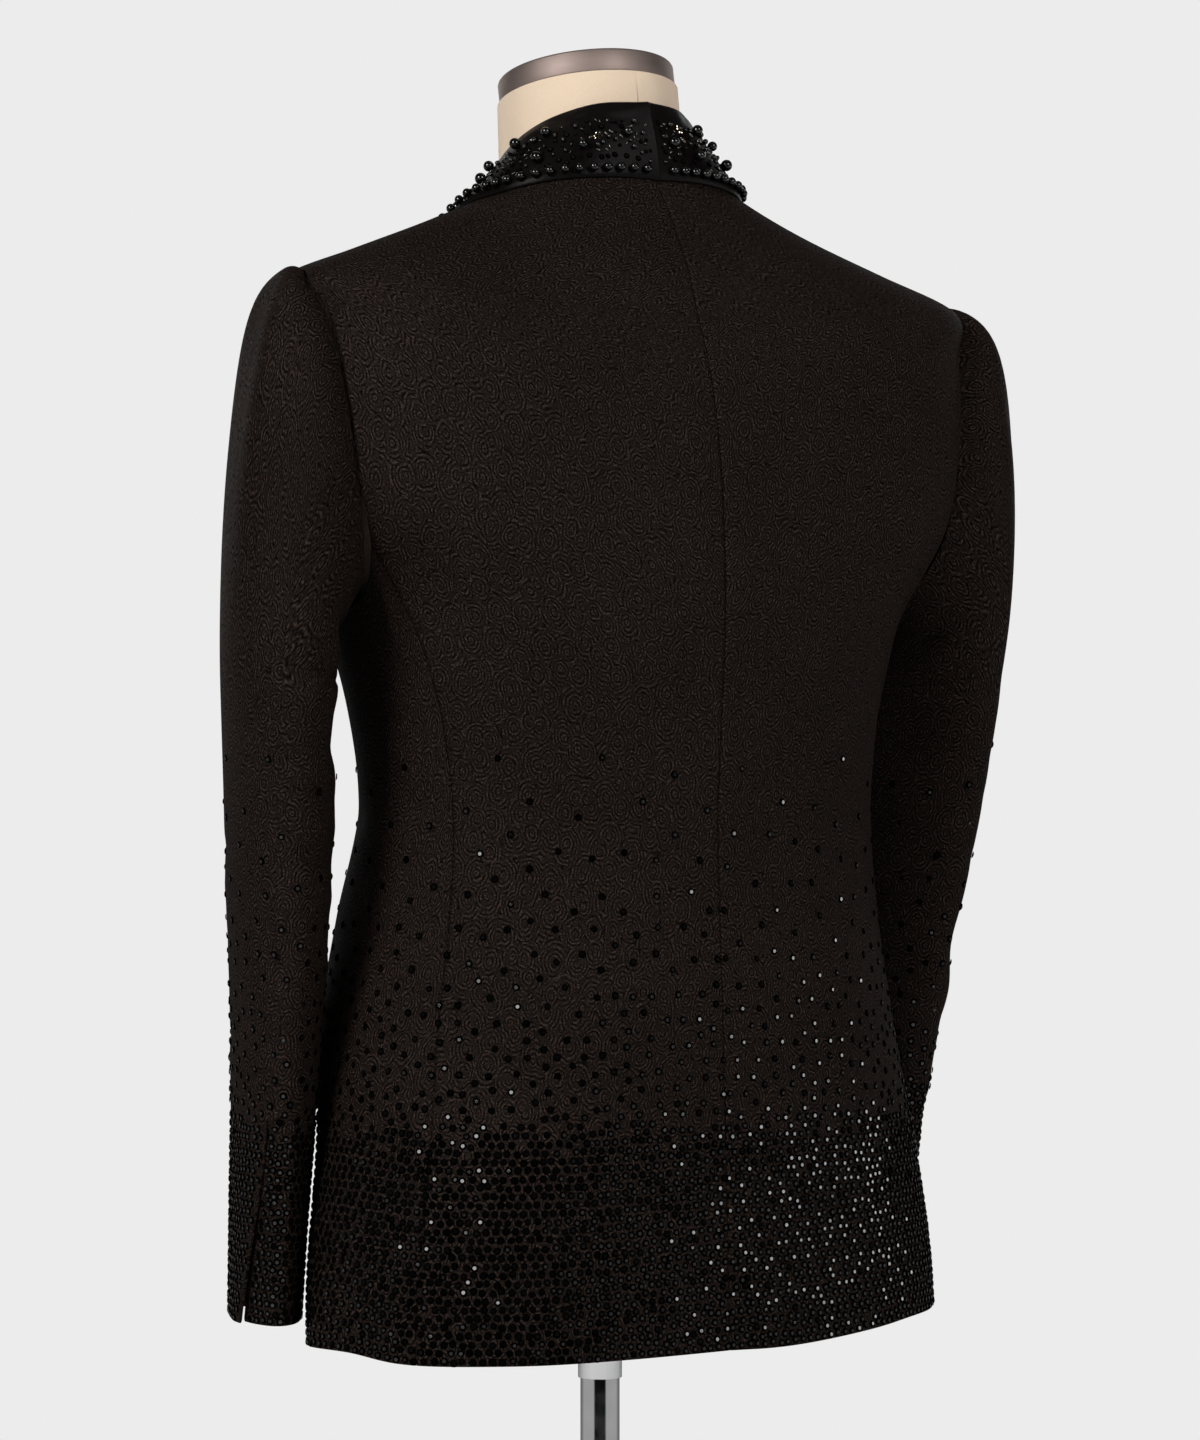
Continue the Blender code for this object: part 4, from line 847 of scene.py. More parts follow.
def make_linen():
    """Cream linen with a fine upright rib."""
    material, tree, shader = new_finish("cream_linen", Specular_IOR_Level=0.25, Sheen_Weight=0.10)
    place = cloth_place(tree)
    ribs = from_group(tree, THREADS, Place=place, Across_Pitch=0.0013, Along_Pitch=0.0006, Along_Share=0.25)
    weave = sums(tree, "MULTIPLY_ADD", noise(tree, place, 420.0, 3.0), 0.5, times(tree, ribs, 0.7))
    shade = blended(tree, weave, (0.64, 0.480, 0.335), (0.92, 0.740, 0.565))
    worn = blended(tree, times(tree, handling(tree, 0.06, 4.0), 0.25), shade, (0.74, 0.61, 0.45))
    finished(tree, shader, worn, between(tree, weave, 0.2, 0.9, 0.92, 0.78), weave, 0.00018)
    return material


def make_brushed_steel():
    """Dark steel, brushed round its rim."""
    material, tree, shader = new_finish("brushed_dark_steel", Metallic=1.0)
    place = node(tree, "ShaderNodeTexCoord", {}).outputs["Object"]
    drawn = vectors(tree, "MULTIPLY", place, (18.0, 18.0, 5200.0))[0]
    line = noise(tree, drawn, 1.0, 3.0)
    colour = blended(tree, line, (0.22, 0.170, 0.148), (0.32, 0.258, 0.234))
    rough = between(tree, line, 0.3, 0.7, 0.50, 0.60)
    rough = sums(tree, "MULTIPLY_ADD", handling(tree, 0.03, 3.0), 0.06, rough)
    finished(tree, shader, colour, rough, line, 0.00004)
    return material


def make_polished(name, dark, light, low, high, size=0.012, fineness=1.0, **values):
    """Glass or metal with a smooth surface, a little unlike from place to place or from stone to stone."""
    material, tree, shader = new_finish(name, **values)
    handled = handling(tree, size, fineness)
    finished(tree, shader, blended(tree, handled, dark, light), between(tree, handled, 0.0, 1.0, low, high))
    return material


JACQUARD = make_jacquard()
SATIN = make_satin()
LINEN = make_linen()
STEEL = make_brushed_steel()
CHROME = make_polished("chrome", (0.80, 0.80, 0.81), (0.86, 0.86, 0.87), 0.05, 0.11, 0.02, 5.0, Metallic=1.0)
JET = make_polished("jet_stone", (0.0010, 0.0009, 0.0009), (0.0024, 0.0021, 0.0021), 0.03, 0.07, IOR=1.60)
JET_SIDE = make_polished("jet_stone_side", (0.0006, 0.0005, 0.0005), (0.0016, 0.0013, 0.0012), 0.30, 0.42,
                         Specular_IOR_Level=0.0)
PEARL = make_polished("black_pearl", (0.0012, 0.0012, 0.0012), (0.0034, 0.0030, 0.0028), 0.03, 0.06, IOR=1.50)
BUGLE = make_polished("dark_glass_bead", (0.03, 0.027, 0.025), (0.17, 0.16, 0.145), 0.12, 0.24, 0.003, Metallic=0.8)
CRYSTAL = make_polished("foiled_crystal", (0.20, 0.155, 0.10), (0.52, 0.45, 0.36), 0.05, 0.14, 0.005, Metallic=1.0)

# ---- coat panels ------------------------------------------------------------------------------------------

NEAR_EDGE = np.array([0.0, 0.0004, 0.0010, 0.0020, 0.0038])  # distances of the first lines from a panel's edge
SEAM_DIP = 0.0012
SLEEVE_DIPS = {"first_column": 0.0003, "last_column": 0.0003}  # pressed flat
SEAM_REACH = 0.0008
SEAM_OPEN = 0.00005  # half the finest gap between two sewn edges
ROUNDING = 0.00055  # of each side of the cloth where it turns in at a hem
HEM_REACH = 0.0022  # how far from the edge that rounding starts
STEP = 0.0042  # between the lines of a panel
BODY_HEIGHT = 0.76
SLEEVE_LENGTH = 0.66
BACK_WIDTH, SIDE_WIDTH, SIDE_HEIGHT, FRONT_WIDTH = 0.165, 0.165, 0.49, 0.170  # at the widest
TOP_SLEEVE_WIDTH, UNDER_SLEEVE_WIDTH = 0.26, 0.17
BOTH_SIDES = ("first_column", "last_column")


def edge_shares(length, step, low=True, high=True):
    """Shares of a length, evenly spaced but closer at its low and high ends, where the cloth turns in."""
    near = NEAR_EDGE / length
    middle = np.linspace(near[-1] if low else 0.0, 1 - near[-1] if high else 1.0, int(length / step) + 2)
    parts = [near[:-1]] if low else []
    parts.append(middle)
    if high:
        parts.append(1 - near[-2::-1])
    return np.concatenate(parts)


def lines_from(points, edge):
    """How far each point of a grid is from one of its edges, along the grid."""
    run = run_along(points if "row" in edge else points.swapaxes(0, 1))
    if "last" in edge:
        run = run[-1:] - run
    return run if "row" in edge else run.T


def edge_turning(points, seams, hems, dips):
    """How far the outer and inner sides of the cloth turn in at its seams and at its hems."""
    outer, inner = np.zeros(points.shape[:2]), np.zeros(points.shape[:2])
    for edge in seams:
        away = lines_from(points, edge)
        outer -= dips.get(edge, SEAM_DIP) * np.exp(-((away / SEAM_REACH) ** 2))
    for edge in hems:
        near = np.clip(1 - lines_from(points, edge) / HEM_REACH, 0.0, 1.0) ** 2
        outer -= ROUNDING * near
        inner += ROUNDING * near
    return outer, inner


def opened(grid, edge):
    """The same grid with one edge drawn back from its neighbour's."""
    grid = grid.copy()
    lines = grid if "row" in edge else grid.swapaxes(0, 1)
    last, second = (0, 1) if "first" in edge else (-1, -2)
    lines[last] += unit(lines[second] - lines[last]) * SEAM_OPEN
    return grid


def add_panel(name, surface, place, lift, seams, hems, settle, dips):
    """A panel of the coat between the outer surface and the same surface a wall's thickness in.

    A place is its grid of turns and levels, lift is how far it lies off the surface, and settle puts the finished
    points on their side of the coat. dips says how deep a seam sinks where it isn't the usual depth."""
    outer_turn, inner_turn = edge_turning(surface(*place, lift), seams, hems, dips)
    outer = surface(*place, lift + outer_turn)
    inner = surface(*place, lift - WALL + inner_turn)
    for edge in seams:
        outer, inner = opened(outer, edge), opened(inner, edge)
    return add_wall(name + "_cloth", settle(outer), settle(inner), JACQUARD, name)


def between_edges(rows, first, last, width):
    """A grid of turns from one edge of a panel to the other, and the row that each point is in."""
    across = edge_shares(width, STEP)
    return first[:, None] + (last - first)[:, None] * across, np.repeat(rows[:, None], len(across), axis=1)


def body_rows(meeting):
    """Levels of a body panel's rows: the solid's own rows, read between them."""
    base = panel_levels(meeting, 26)
    place = edge_shares(BODY_HEIGHT, STEP) * (base[-1] - base[0]) + base[0]
    return np.unique(np.round(np.concatenate([place, [meeting, TIP_LEVEL - 0.0004, TIP_LEVEL]]), 6))


def shoulder_dips(levels):
    """The armhole's dip, which fades out along the shoulder seam."""
    return (SEAM_DIP - (SEAM_DIP - 0.0002) * soft_step(levels, TIP_LEVEL - 0.012, TIP_LEVEL))[:, None]


def long_panel(side, name, levels, first, last, width, seams, hems, armhole):
    """A body panel that runs from the hem to the neck."""
    angles, rows = between_edges(levels, first, last, width)
    return add_panel(name, body_point, (angles, rows), closing_lift(angles, rows, side), seams, hems,
                     lambda grid: hung(grid, side), {armhole: shoulder_dips(levels)})


def back_panel(side, name):
    levels = body_rows(BACK_MEETING)
    outer_seam = outer_seam_angle(levels, SIDE_BACK_SEAM, True)
    return long_panel(side, name, levels, np.zeros(len(levels)), outer_seam, BACK_WIDTH, BOTH_SIDES, ("first_row",),
                      "last_column")


def front_panel(side, name):
    levels = body_rows(FRONT_MEETING)
    outer_seam = outer_seam_angle(levels, SIDE_FRONT_SEAM, False)
    return long_panel(side, name, levels, outer_seam, front_edge_angle(levels), FRONT_WIDTH, ("first_column",),
                      ("first_row", "last_column"), "first_column")


def side_panel(side, name):
    start, end = BACK_MEETING, FRONT_MEETING
    columns, up = edge_shares(SIDE_WIDTH, STEP), edge_shares(SIDE_HEIGHT, STEP)
    first, last = smooth_value(SIDE_BACK_SEAM, start), smooth_value(SIDE_FRONT_SEAM, end)
    top_level = armhole_level(first + (last - first) * columns)
    top_level[0], top_level[-1] = start, end
    levels = HEM_LEVEL + (top_level[None, :] - HEM_LEVEL) * up[:, None]
    back_seam, front_seam = smooth_value(SIDE_BACK_SEAM, levels), smooth_value(SIDE_FRONT_SEAM, levels)
    angles = back_seam + (front_seam - back_seam) * columns[None, :]
    return add_panel(name, body_point, (angles, levels), 0.0, (*BOTH_SIDES, "last_row"), ("first_row",),
                     lambda grid: hung(grid, side), {})


def lap_edge(downs):
    """Turn of the under sleeve's hind edge, which runs on under the top sleeve in the cuff's vent."""
    return smooth_value(HIND_SEAM, downs) - VENT_LAP * soft_step(downs, VENT_START - 0.001, VENT_START + 0.030)


def sleeve_lift(turns, downs):
    """How far the cloth lies off the plain sleeve beside the cuff's vent: out above the lap, in under it.

    Turns run back from the hind seam over the top sleeve to 0, and on over the under sleeve below it."""
    hind, fore, lap = smooth_value(HIND_SEAM, downs), smooth_value(FORE_SEAM, downs), lap_edge(downs)
    over = (turns - fore + 360.0) / (hind - fore + 360.0)
    under = (turns + 360.0 - lap) / (fore - lap)
    flare = VENT_FLARE * soft_step(downs, VENT_START, 1.0) * soft_step(over, 0.7, 1.0)
    tuck = -(WALL + LAP_GAP) * soft_step(downs, VENT_START - 0.020, VENT_START) * (1 - soft_step(under, 0.1, 0.35))
    return np.where(over > 0, flare, tuck)


def sleeve_panel(side, name):
    rows = np.unique(np.round(np.append(edge_shares(SLEEVE_LENGTH, STEP), [VENT_START, VENT_START - 0.001]), 6))
    fore = smooth_value(FORE_SEAM, rows)
    if name.startswith("top"):
        turns, downs = between_edges(rows, fore - 360.0, smooth_value(HIND_SEAM, rows), TOP_SLEEVE_WIDTH)
        lift = sleeve_lift(turns, downs)
    else:
        turns, downs = between_edges(rows, lap_edge(rows), fore, UNDER_SLEEVE_WIDTH)
        lift = sleeve_lift(turns - 360.0, downs)
    return add_panel(name, sleeve_point, (turns, downs), lift, BOTH_SIDES, ("last_row",),
                     lambda grid: mirrored(grid, side), SLEEVE_DIPS)


# ---- shawl collar -----------------------------------------------------------------------------------------

SHAWL_STEP = 0.0032
SHAWL_WIDTH = 0.075  # widest
SHAWL_ROUNDING = 0.00030
EDGE_SETTLE = 0.00130  # the pressed outer edge lies closer to the coat than the roll behind it
FOLD_TURNS = np.radians(np.linspace(0.0, 180.0, 9))
STAND_SHARES = (0.25, 0.5, 0.75, 1.0)


def shawl_grid(side, inner):
    """Lines along the shawl: the fall, the fold over the crest, and the stand or the turned-in edge."""
    alongs = edge_shares(SHAWL_LENGTH, SHAWL_STEP) * SHAWL_LENGTH
    alongs[0] = 0.0
    shares = edge_shares(SHAWL_WIDTH, SHAWL_STEP, high=False)[:-1]
    near_edge = np.clip(1 - shares * SHAWL_WIDTH / HEM_REACH, 0.0, 1.0) ** 2
    near_end = np.clip(1 - (SHAWL_LENGTH - alongs) / HEM_REACH, 0.0, 1.0) ** 2
    rounding = SHAWL_ROUNDING * np.maximum(near_edge[None, :], near_end[:, None])
    depth = -SATIN_WALL if inner else 0.0
    close = EDGE_SETTLE * (1 - soft_step(shares, 0.0, 0.12))
    turned = depth + (rounding if inner else -rounding) - close[None, :]
    fall = mirrored(shawl_point(alongs[:, None], shares[None, :], side, turned), side)
    stations = shawl_stations(alongs)
    crest = shawl_surface(stations, np.ones(len(alongs)), side)
    before = shawl_surface(stations, np.full(len(alongs), 0.93), side)
    over = unit(crest - before)
    outward = unit(np.cross(np.gradient(crest, axis=0), over))
    facing = np.sum(outward * (crest - np.array([0.0, 0.02, 1.3])) * [1, 1, 0.2], axis=-1)
    outward *= np.sign(facing)[:, None]
    radius = FOLD_RADIUS_LAPEL + (FOLD_RADIUS_COLLAR - FOLD_RADIUS_LAPEL) * stations[:, 7:8]
    middle = crest - outward * radius
    lines = [fall[:, line] for line in range(len(shares))]
    for turn in FOLD_TURNS:
        lines.append(middle + (outward * math.cos(turn) + over * math.sin(turn)) * (radius + depth))
    stand = stations[:, 8:9]
    for share in STAND_SHARES:
        lines.append(middle - outward * (radius + depth) - over * stand * share)
    grid = np.stack(lines, axis=1)
    grid[0, :, 0] = SEAM_GAP / 2
    return mirrored(grid, side)


def shawl_panel(side, name):
    return add_wall(name + "_satin", shawl_grid(side, False), shawl_grid(side, True), SATIN, name)


# ---- stones, pearls and beads -----------------------------------------------------------------------------


def frames_on(normals, turns):
    """Two directions in each surface, turned by an angle, and its normal."""
    helper = np.where(np.abs(normals[:, 2:3]) < 0.9, [[0.0, 0.0, 1.0]], [[1.0, 0.0, 0.0]])
    first = unit(np.cross(helper, normals))
    second = np.cross(normals, first)
    cosine, sine = np.cos(turns)[:, None], np.sin(turns)[:, None]
    return first * cosine + second * sine, second * cosine - first * sine, normals


def set_down(shape, places, frame_axes, sizes):
    """One shape set at many places: the points of all of them, and their faces."""
    points, groups = shape
    first, second, up = frame_axes
    sizes = np.broadcast_to(sizes[:, None] if np.ndim(sizes) < 2 else sizes, (len(places), 3))
    local = points[None] * sizes[:, None, :]
    turned = (local[..., 0:1] * first[:, None] + local[..., 1:2] * second[:, None]
              + local[..., 2:3] * up[:, None])
    starts = np.arange(len(places)) * len(points)
    return (places[:, None] + turned).reshape(-1, 3), [
        (group[None] + starts[:, None, None]).reshape(-1, group.shape[1]) for group in groups]


def round_shape(degrees, sides, lift=0.0):
    """A small ball, one unit across, through rings at degrees of latitude; it ends in flat faces."""
    rings = []
    for latitude in np.radians(degrees):
        turn = np.linspace(0, 2 * math.pi, sides, endpoint=False)
        radius = 0.5 * math.cos(latitude)
        height = np.full(sides, 0.5 * math.sin(latitude) + lift)
        rings.append(np.stack([radius * np.cos(turn), radius * np.sin(turn), height], axis=-1))
    return np.concatenate(rings), [lathe_faces(len(rings), sides)] + ring_lids(len(rings), sides)


def cut_stone(sides=8):
    """A chaton: a girdle, and a smaller table turned by half a facet, one unit across."""
    turn = np.linspace(0, 2 * math.pi, sides, endpoint=False)
    girdle = np.stack([0.5 * np.cos(turn), 0.5 * np.sin(turn), np.full(sides, 0.045)], axis=-1)
    turn = turn + math.pi / sides
    table = np.stack([0.23 * np.cos(turn), 0.23 * np.sin(turn), np.full(sides, 0.20)], axis=-1)
    low, after = np.arange(sides), (np.arange(sides) + 1) % sides
    crown = np.concatenate([
        np.stack([low, after, sides + low], axis=1), np.stack([sides + low, after, sides + after], axis=1)])
    return np.concatenate([girdle, table]), [crown, np.arange(sides)[None, ::-1], sides + np.arange(sides)[None]]


PEARL_SHAPE = round_shape(np.linspace(-75, 82, 8), 14, 0.42)
SMALL_BALL = round_shape((-60, -20, 20, 55, 80), 8, 0.40)
RICE_SHAPE = round_shape((-80, -50, -15, 15, 50, 80), 7)
STONE_SHAPE = cut_stone()

STONE_SPACING = (  # level, distance between stones
    (0.78, 0.0048), (0.912, 0.0050), (0.932, 0.0068), (0.962, 0.0092), (1.0, 0.012), (1.03, 0.015),
    (1.06, 0.018), (1.09, 0.022), (1.12, 0.028), (1.146, 0.040),
)
STONE_TOP = 1.148
LATTICE_PITCH = 0.0059
LATTICE_JITTER = 0.0005
STONE_SIZE = 0.0049
STONE_TILT = math.radians(3.6)
EDGE_MARGIN = 0.0022
FIRST_ROW = 0.003  # above the hem and the cuff
FRONT_MARGIN = 1.0  # degrees
RIGHT_SHIFT = 0.010  # the right sleeve's stones reach higher
NEAREST = 0.9  # share of the spacing that two stones may come to
SUNK = 0.0001  # how deep stones and beads sit in the cloth
ROW_SHIFT = 0.0007  # each row of the lattice starts by this much sooner or later
LINE_POINTS = 400  # read along each row of the lattice


def lattice_on(surface, low, high, first_angle, last_angle, rng, to_level):
    """Places of a six-sided lattice on a surface of turns and levels, each a little off its place."""
    turns, levels = [], []
    height = LATTICE_PITCH * math.sqrt(3) / 2
    for number, level in enumerate(np.arange(low, high, height)):
        fine = np.linspace(first_angle(level), last_angle(level), LINE_POINTS)
        run = run_along(surface(fine, np.full(LINE_POINTS, to_level(level))))
        first = EDGE_MARGIN + (number % 2) * LATTICE_PITCH / 2 + rng.uniform(-ROW_SHIFT, ROW_SHIFT)
        wanted = np.arange(first, run[-1] - EDGE_MARGIN, LATTICE_PITCH)
        wanted = wanted + rng.normal(0.0, LATTICE_JITTER, len(wanted))
        turns.append(np.interp(wanted, run, fine))
        levels.append(level + rng.normal(0.0, LATTICE_JITTER, len(wanted)))
    return np.concatenate(turns), np.concatenate(levels)


def with_room(points, spacing, order, share=0.0, sure=0):
    """Numbers of the points, in the order given, that keep clear of those taken before them.

    A point keeps its own spacing and a share of the other's. The first "sure" points are taken anyway."""
    field = kdtree.KDTree(len(points))
    for number, point in enumerate(points):
        field.insert(point, number)
    field.balance()
    kept, taken = [], np.zeros(len(points), dtype=bool)
    further = share * spacing.max() + 0.00001
    for number in order:
        found = field.find_range(points[number], spacing[number] + further)
        near = [other for _, other, _ in found if taken[other]]
        gaps = ((points[near] - points[number]) ** 2).sum(axis=-1)
        if number < sure or (gaps >= (spacing[number] + share * spacing[near]) ** 2).all():
            kept.append(number)
            taken[number] = True
    return np.array(kept)


def stones_at(name, places, normals, levels, rng):
    """Cut stones on the cloth, as far apart as the table says for their levels."""
    spacing = smooth_value(STONE_SPACING, levels) * NEAREST
    kept = with_room(places, spacing, rng.permutation(len(places)))
    places, normals, count = places[kept], normals[kept], len(kept)
    tilt = rng.normal(0.0, STONE_TILT, (count, 3))
    axes = frames_on(unit(normals + tilt), rng.uniform(0, 2 * math.pi, count))
    sizes = STONE_SIZE * rng.choice([0.92, 1.0, 1.0, 1.05], count)
    points, faces = set_down(STONE_SHAPE, places, axes, sizes)
    add_piece(name, points, faces, JET, smooth=False, closed=False, second=JET_SIDE)


def body_stones(side, word, rng):
    def last_angle(level):
        return float(front_edge_angle(np.array(level))) - FRONT_MARGIN

    turns, levels = lattice_on(body_point, HEM_LEVEL + FIRST_ROW, STONE_TOP, lambda level: 0.0, last_angle, rng,
                               lambda level: level)
    places = hung(body_point(turns, levels, closing_lift(turns, levels, side) - SUNK), side)
    stones_at("stones_body_" + word, places, mirrored(body_normal(turns, levels), side), levels, rng)


def sleeve_level_down(level):
    return CAP_SHARE + (1 - CAP_SHARE) * (CAP_LOWEST - level) / (CAP_LOWEST - CUFF_HEIGHT)


def sleeve_stones(side, word, rng):
    shift = 0.0 if side > 0 else RIGHT_SHIFT

    def hind_turn(level):
        return float(smooth_value(HIND_SEAM, sleeve_level_down(level)))

    turns, levels = lattice_on(sleeve_point, CUFF_HEIGHT + FIRST_ROW, STONE_TOP + shift,
                               lambda level: hind_turn(level) - 360.0, hind_turn, rng, sleeve_level_down)
    downs = sleeve_level_down(levels)
    places = mirrored(sleeve_point(turns, downs, sleeve_lift(turns, downs) - SUNK), side)
    stones_at("stones_sleeve_" + word, places, mirrored(sleeve_normal(turns, downs), side), levels - shift, rng)


BEAD_PITCH = 0.0089
BEAD_GAP_AT_SEAM = 0.0055
EDGE_ROW = 0.0078  # from the collar's outer edge to the row of round beads along it
EDGE_BEAD = 0.0060
LARGE_BEAD = 0.0070
BEADED_WIDTH = 0.0440
LARGE_BEADS = {  # by half: way along the collar and distance from its outer edge
    1: ((0.0230, 0.0293), (0.0550, 0.0221), (0.0830, 0.0392), (0.0830, 0.0176), (0.1040, 0.0387), (0.1250, 0.0341),
        (0.1250, 0.0167)),
    -1: ((0.0150, 0.0238), (0.0380, 0.0177), (0.0510, 0.0383), (0.0710, 0.0334), (0.0770, 0.0207), (0.1060, 0.0300),
         (0.1210, 0.0180)),
}
FLOWERS = {  # the same for the small flowers of bright stones
    1: ((0.0450, 0.0292), (0.1040, 0.0256)),
    -1: ((0.0310, 0.0363), (0.0930, 0.0270)),
}
LARGE_SCATTER = (0.142, 0.0135, 0.0165)  # way along of the first one further down, pitch, and least distance out
FLOWER_SCATTER = (0.160, 0.062, 0.0190)
OVERHANG = 0.001  # how far a bead's middle may lie past the beading
SECOND_ROW = EDGE_ROW + 0.0066
SECOND_STONE = 0.0038
FLOWER_WIDTH = 0.0068
FLOWER_MIDDLE = 0.0024
PETAL = 0.0022
PETAL_OUT = FLOWER_WIDTH / 2 - PETAL / 2
LOOSE_TRIES = 2300
LOOSE_START = 0.0120  # from the outer edge
LOOSE_SQUEEZE = 0.95  # share of their own room that the small ones keep
SMALL_KINDS = (  # name, shape, material, stretch, lift by share of the size
    ("bugles_shawl_", RICE_SHAPE, BUGLE, (1.25, 0.52, 0.52), 0.25),
    ("small_beads_shawl_", SMALL_BALL, PEARL, (1.0, 1.0, 1.0), 0.0),
    ("small_stones_shawl_", STONE_SHAPE, JET, (1.1, 1.1, 1.1), 0.0),
)


def beaded_room(along, side):
    """How far from the outer edge the beading reaches."""
    return np.minimum(BEADED_WIDTH, shawl_width(along, side) - 0.012)


def scattered(side, rng, known, first, pitch, low):
    """Places one after another down the rest of the collar, after those known from the back of the neck."""
    places = list(known)
    for number, along in enumerate(np.arange(first, SHAWL_LENGTH - 0.020, pitch)):
        way = along + rng.normal(0.0, pitch * 0.12)
        room = float(beaded_room(np.array(way), side))
        if room > low + 0.002:
            share = (0.85, 0.15, 0.55)[number % 3] + rng.uniform(-0.12, 0.12)
            places.append((way, low + share * (room - low)))
    return np.array(places)


def on_collar(name, along, distance, sizes, side, rng, shape, material, lift=0.0):
    """Beads or stones of one kind sewn to the collar; sizes are across, along and high."""
    shares = distance / shawl_width(along, side)
    normals = shawl_normal(along, shares, side)
    places = shawl_point(along, shares, side, -SUNK) + normals * np.broadcast_to(lift, along.shape)[:, None]
    axes = frames_on(normals, rng.uniform(0, 2 * math.pi, len(along)))
    made = set_down(shape, places, axes, sizes)
    add_piece(name, *made, material, smooth=shape is not STONE_SHAPE, closed=False,
              second=JET_SIDE if material is JET else None)


def collar_beads(side, word, rng):
    """The collar's beads: a row along the edge, large ones, flowers, a second row, and loose small ones."""
    count = int(round((SHAWL_LENGTH - BEAD_GAP_AT_SEAM) / BEAD_PITCH))
    pitch = (SHAWL_LENGTH - BEAD_GAP_AT_SEAM) / count
    row = BEAD_GAP_AT_SEAM + (np.arange(1, count - 1) - 0.5) * pitch
    row = row[beaded_room(row, side) > -OVERHANG]
    row = row + rng.normal(0.0, 0.0002, len(row))
    large = scattered(side, rng, LARGE_BEADS[side], *LARGE_SCATTER)
    along = np.concatenate([row, large[:, 0]])
    out = np.concatenate([np.full(len(row), EDGE_ROW), large[:, 1]])
    sizes = np.concatenate([np.full(len(row), EDGE_BEAD), rng.choice([0.92, 1.0, 1.06], len(large)) * LARGE_BEAD])
    on_collar("pearls_shawl_" + word, along, out, sizes, side, rng, PEARL_SHAPE, PEARL)

    flowers = scattered(side, rng, FLOWERS[side], *FLOWER_SCATTER)
    turns = np.radians(np.arange(6) * 60.0)
    petals = (flowers[:, None] + PETAL_OUT * np.stack([np.cos(turns), np.sin(turns)], axis=-1)).reshape(-1, 2)
    on_collar("flowers_shawl_" + word, *petals.T, np.full(len(petals), PETAL), side, rng, STONE_SHAPE, CRYSTAL)

    second = row + pitch / 2 + rng.normal(0.0, 0.0008, len(row))
    second_out = SECOND_ROW + rng.normal(0.0, 0.0007, len(row))
    loose = rng.uniform(BEAD_GAP_AT_SEAM * 0.8, SHAWL_LENGTH - 0.012, LOOSE_TRIES)
    room = np.clip(beaded_room(loose, side) - LOOSE_START, 0.0, None)
    loose_out = LOOSE_START + rng.uniform(0, 1, LOOSE_TRIES) * room
    loose_size = rng.choice([0.0020, 0.0026, 0.0032, 0.0038], LOOSE_TRIES, p=[0.25, 0.35, 0.25, 0.15])
    loose_kind = rng.choice(3, LOOSE_TRIES, p=[0.26, 0.36, 0.38])
    small = np.stack([  # way along, distance from the edge, size and kind
        np.concatenate([second, loose]), np.concatenate([second_out, loose_out]),
        np.concatenate([np.full(len(second), SECOND_STONE), loose_size]),
        np.concatenate([np.full(len(second), 2), loose_kind])], axis=1)
    small = small[beaded_room(small[:, 0], side) > small[:, 1] - OVERHANG]
    flat = np.concatenate([np.stack([along, out], axis=1), flowers, small[:, :2]])
    flat = np.concatenate([flat, np.zeros((len(flat), 1))], axis=1)
    reach = np.concatenate([sizes / 2 + 0.0002, np.full(len(flowers), FLOWER_WIDTH / 2), small[:, 2] / 2 + 0.0003])
    sure = len(along) + len(flowers)
    kept = with_room(flat, reach * LOOSE_SQUEEZE, range(len(flat)), 1.0, sure)
    small = small[kept[kept >= sure] - sure]
    for number, (name, shape, material, stretch, lift) in enumerate(SMALL_KINDS):
        chosen = small[small[:, 3] == number]
        on_collar(name + word, chosen[:, 0], chosen[:, 1], chosen[:, 2:3] * np.array(stretch), side, rng, shape,
                  material, chosen[:, 2] * lift)
    on_collar("flower_middles_shawl_" + word, *flowers.T, np.full(len(flowers), FLOWER_MIDDLE), side, rng,
              SMALL_BALL, PEARL)


# ---- button, form and stand -------------------------------------------------------------------------------

CAP_PROFILE = (  # radius, height
    (0.0557, 0.0), (0.0562, 0.0004), (0.0564, 0.0010), (0.0564, 0.0135), (0.0561, 0.0142), (0.0556, 0.0148),
    (0.0549, 0.0150),
)
POLE_RADIUS = 0.0125
FERRULE_RADIUS = 0.0140
FERRULE_BOTTOM = 0.7536
BOSS_TOP = 0.034
BASE_PROFILE = (  # radius, height
    (0.1590, 0.000), (0.1600, 0.001), (0.1600, 0.006), (0.1590, 0.0075), (0.1560, 0.009), (0.0800, 0.012),
    (0.0270, 0.013), (0.0250, 0.0142), (0.0240, 0.017), (0.0240, 0.031), (0.0232, 0.033), (0.0210, BOSS_TOP),
)
BUTTON_LEVEL = 1.034
BUTTON_RADIUS = 0.0105
BUTTON_SETTLE = 0.0009  # the facets of the solid front lie this much inside its true surface
BUTTON_SIDES = 48
BUTTON_PROFILE = (  # share of the radius, height
    (0.35, 0.0), (0.35, 0.0012), (0.86, 0.0012), (0.95, 0.0014), (1.0, 0.0021), (0.985, 0.0028),
    (0.93, 0.0034), (0.80, 0.0040), (0.62, 0.0044), (0.40, 0.00465), (0.18, 0.0048),
)
ROUND_SIDES = 128


def round_ring(radius, centre, tilt=0.0, sides=ROUND_SIDES):
    turns = np.linspace(0.0, 2 * math.pi, sides, endpoint=False)
    x, y = radius * np.sin(turns), radius * np.cos(turns)
    return np.stack([x, y * math.cos(tilt), y * math.sin(tilt)], axis=-1) + np.array(centre)


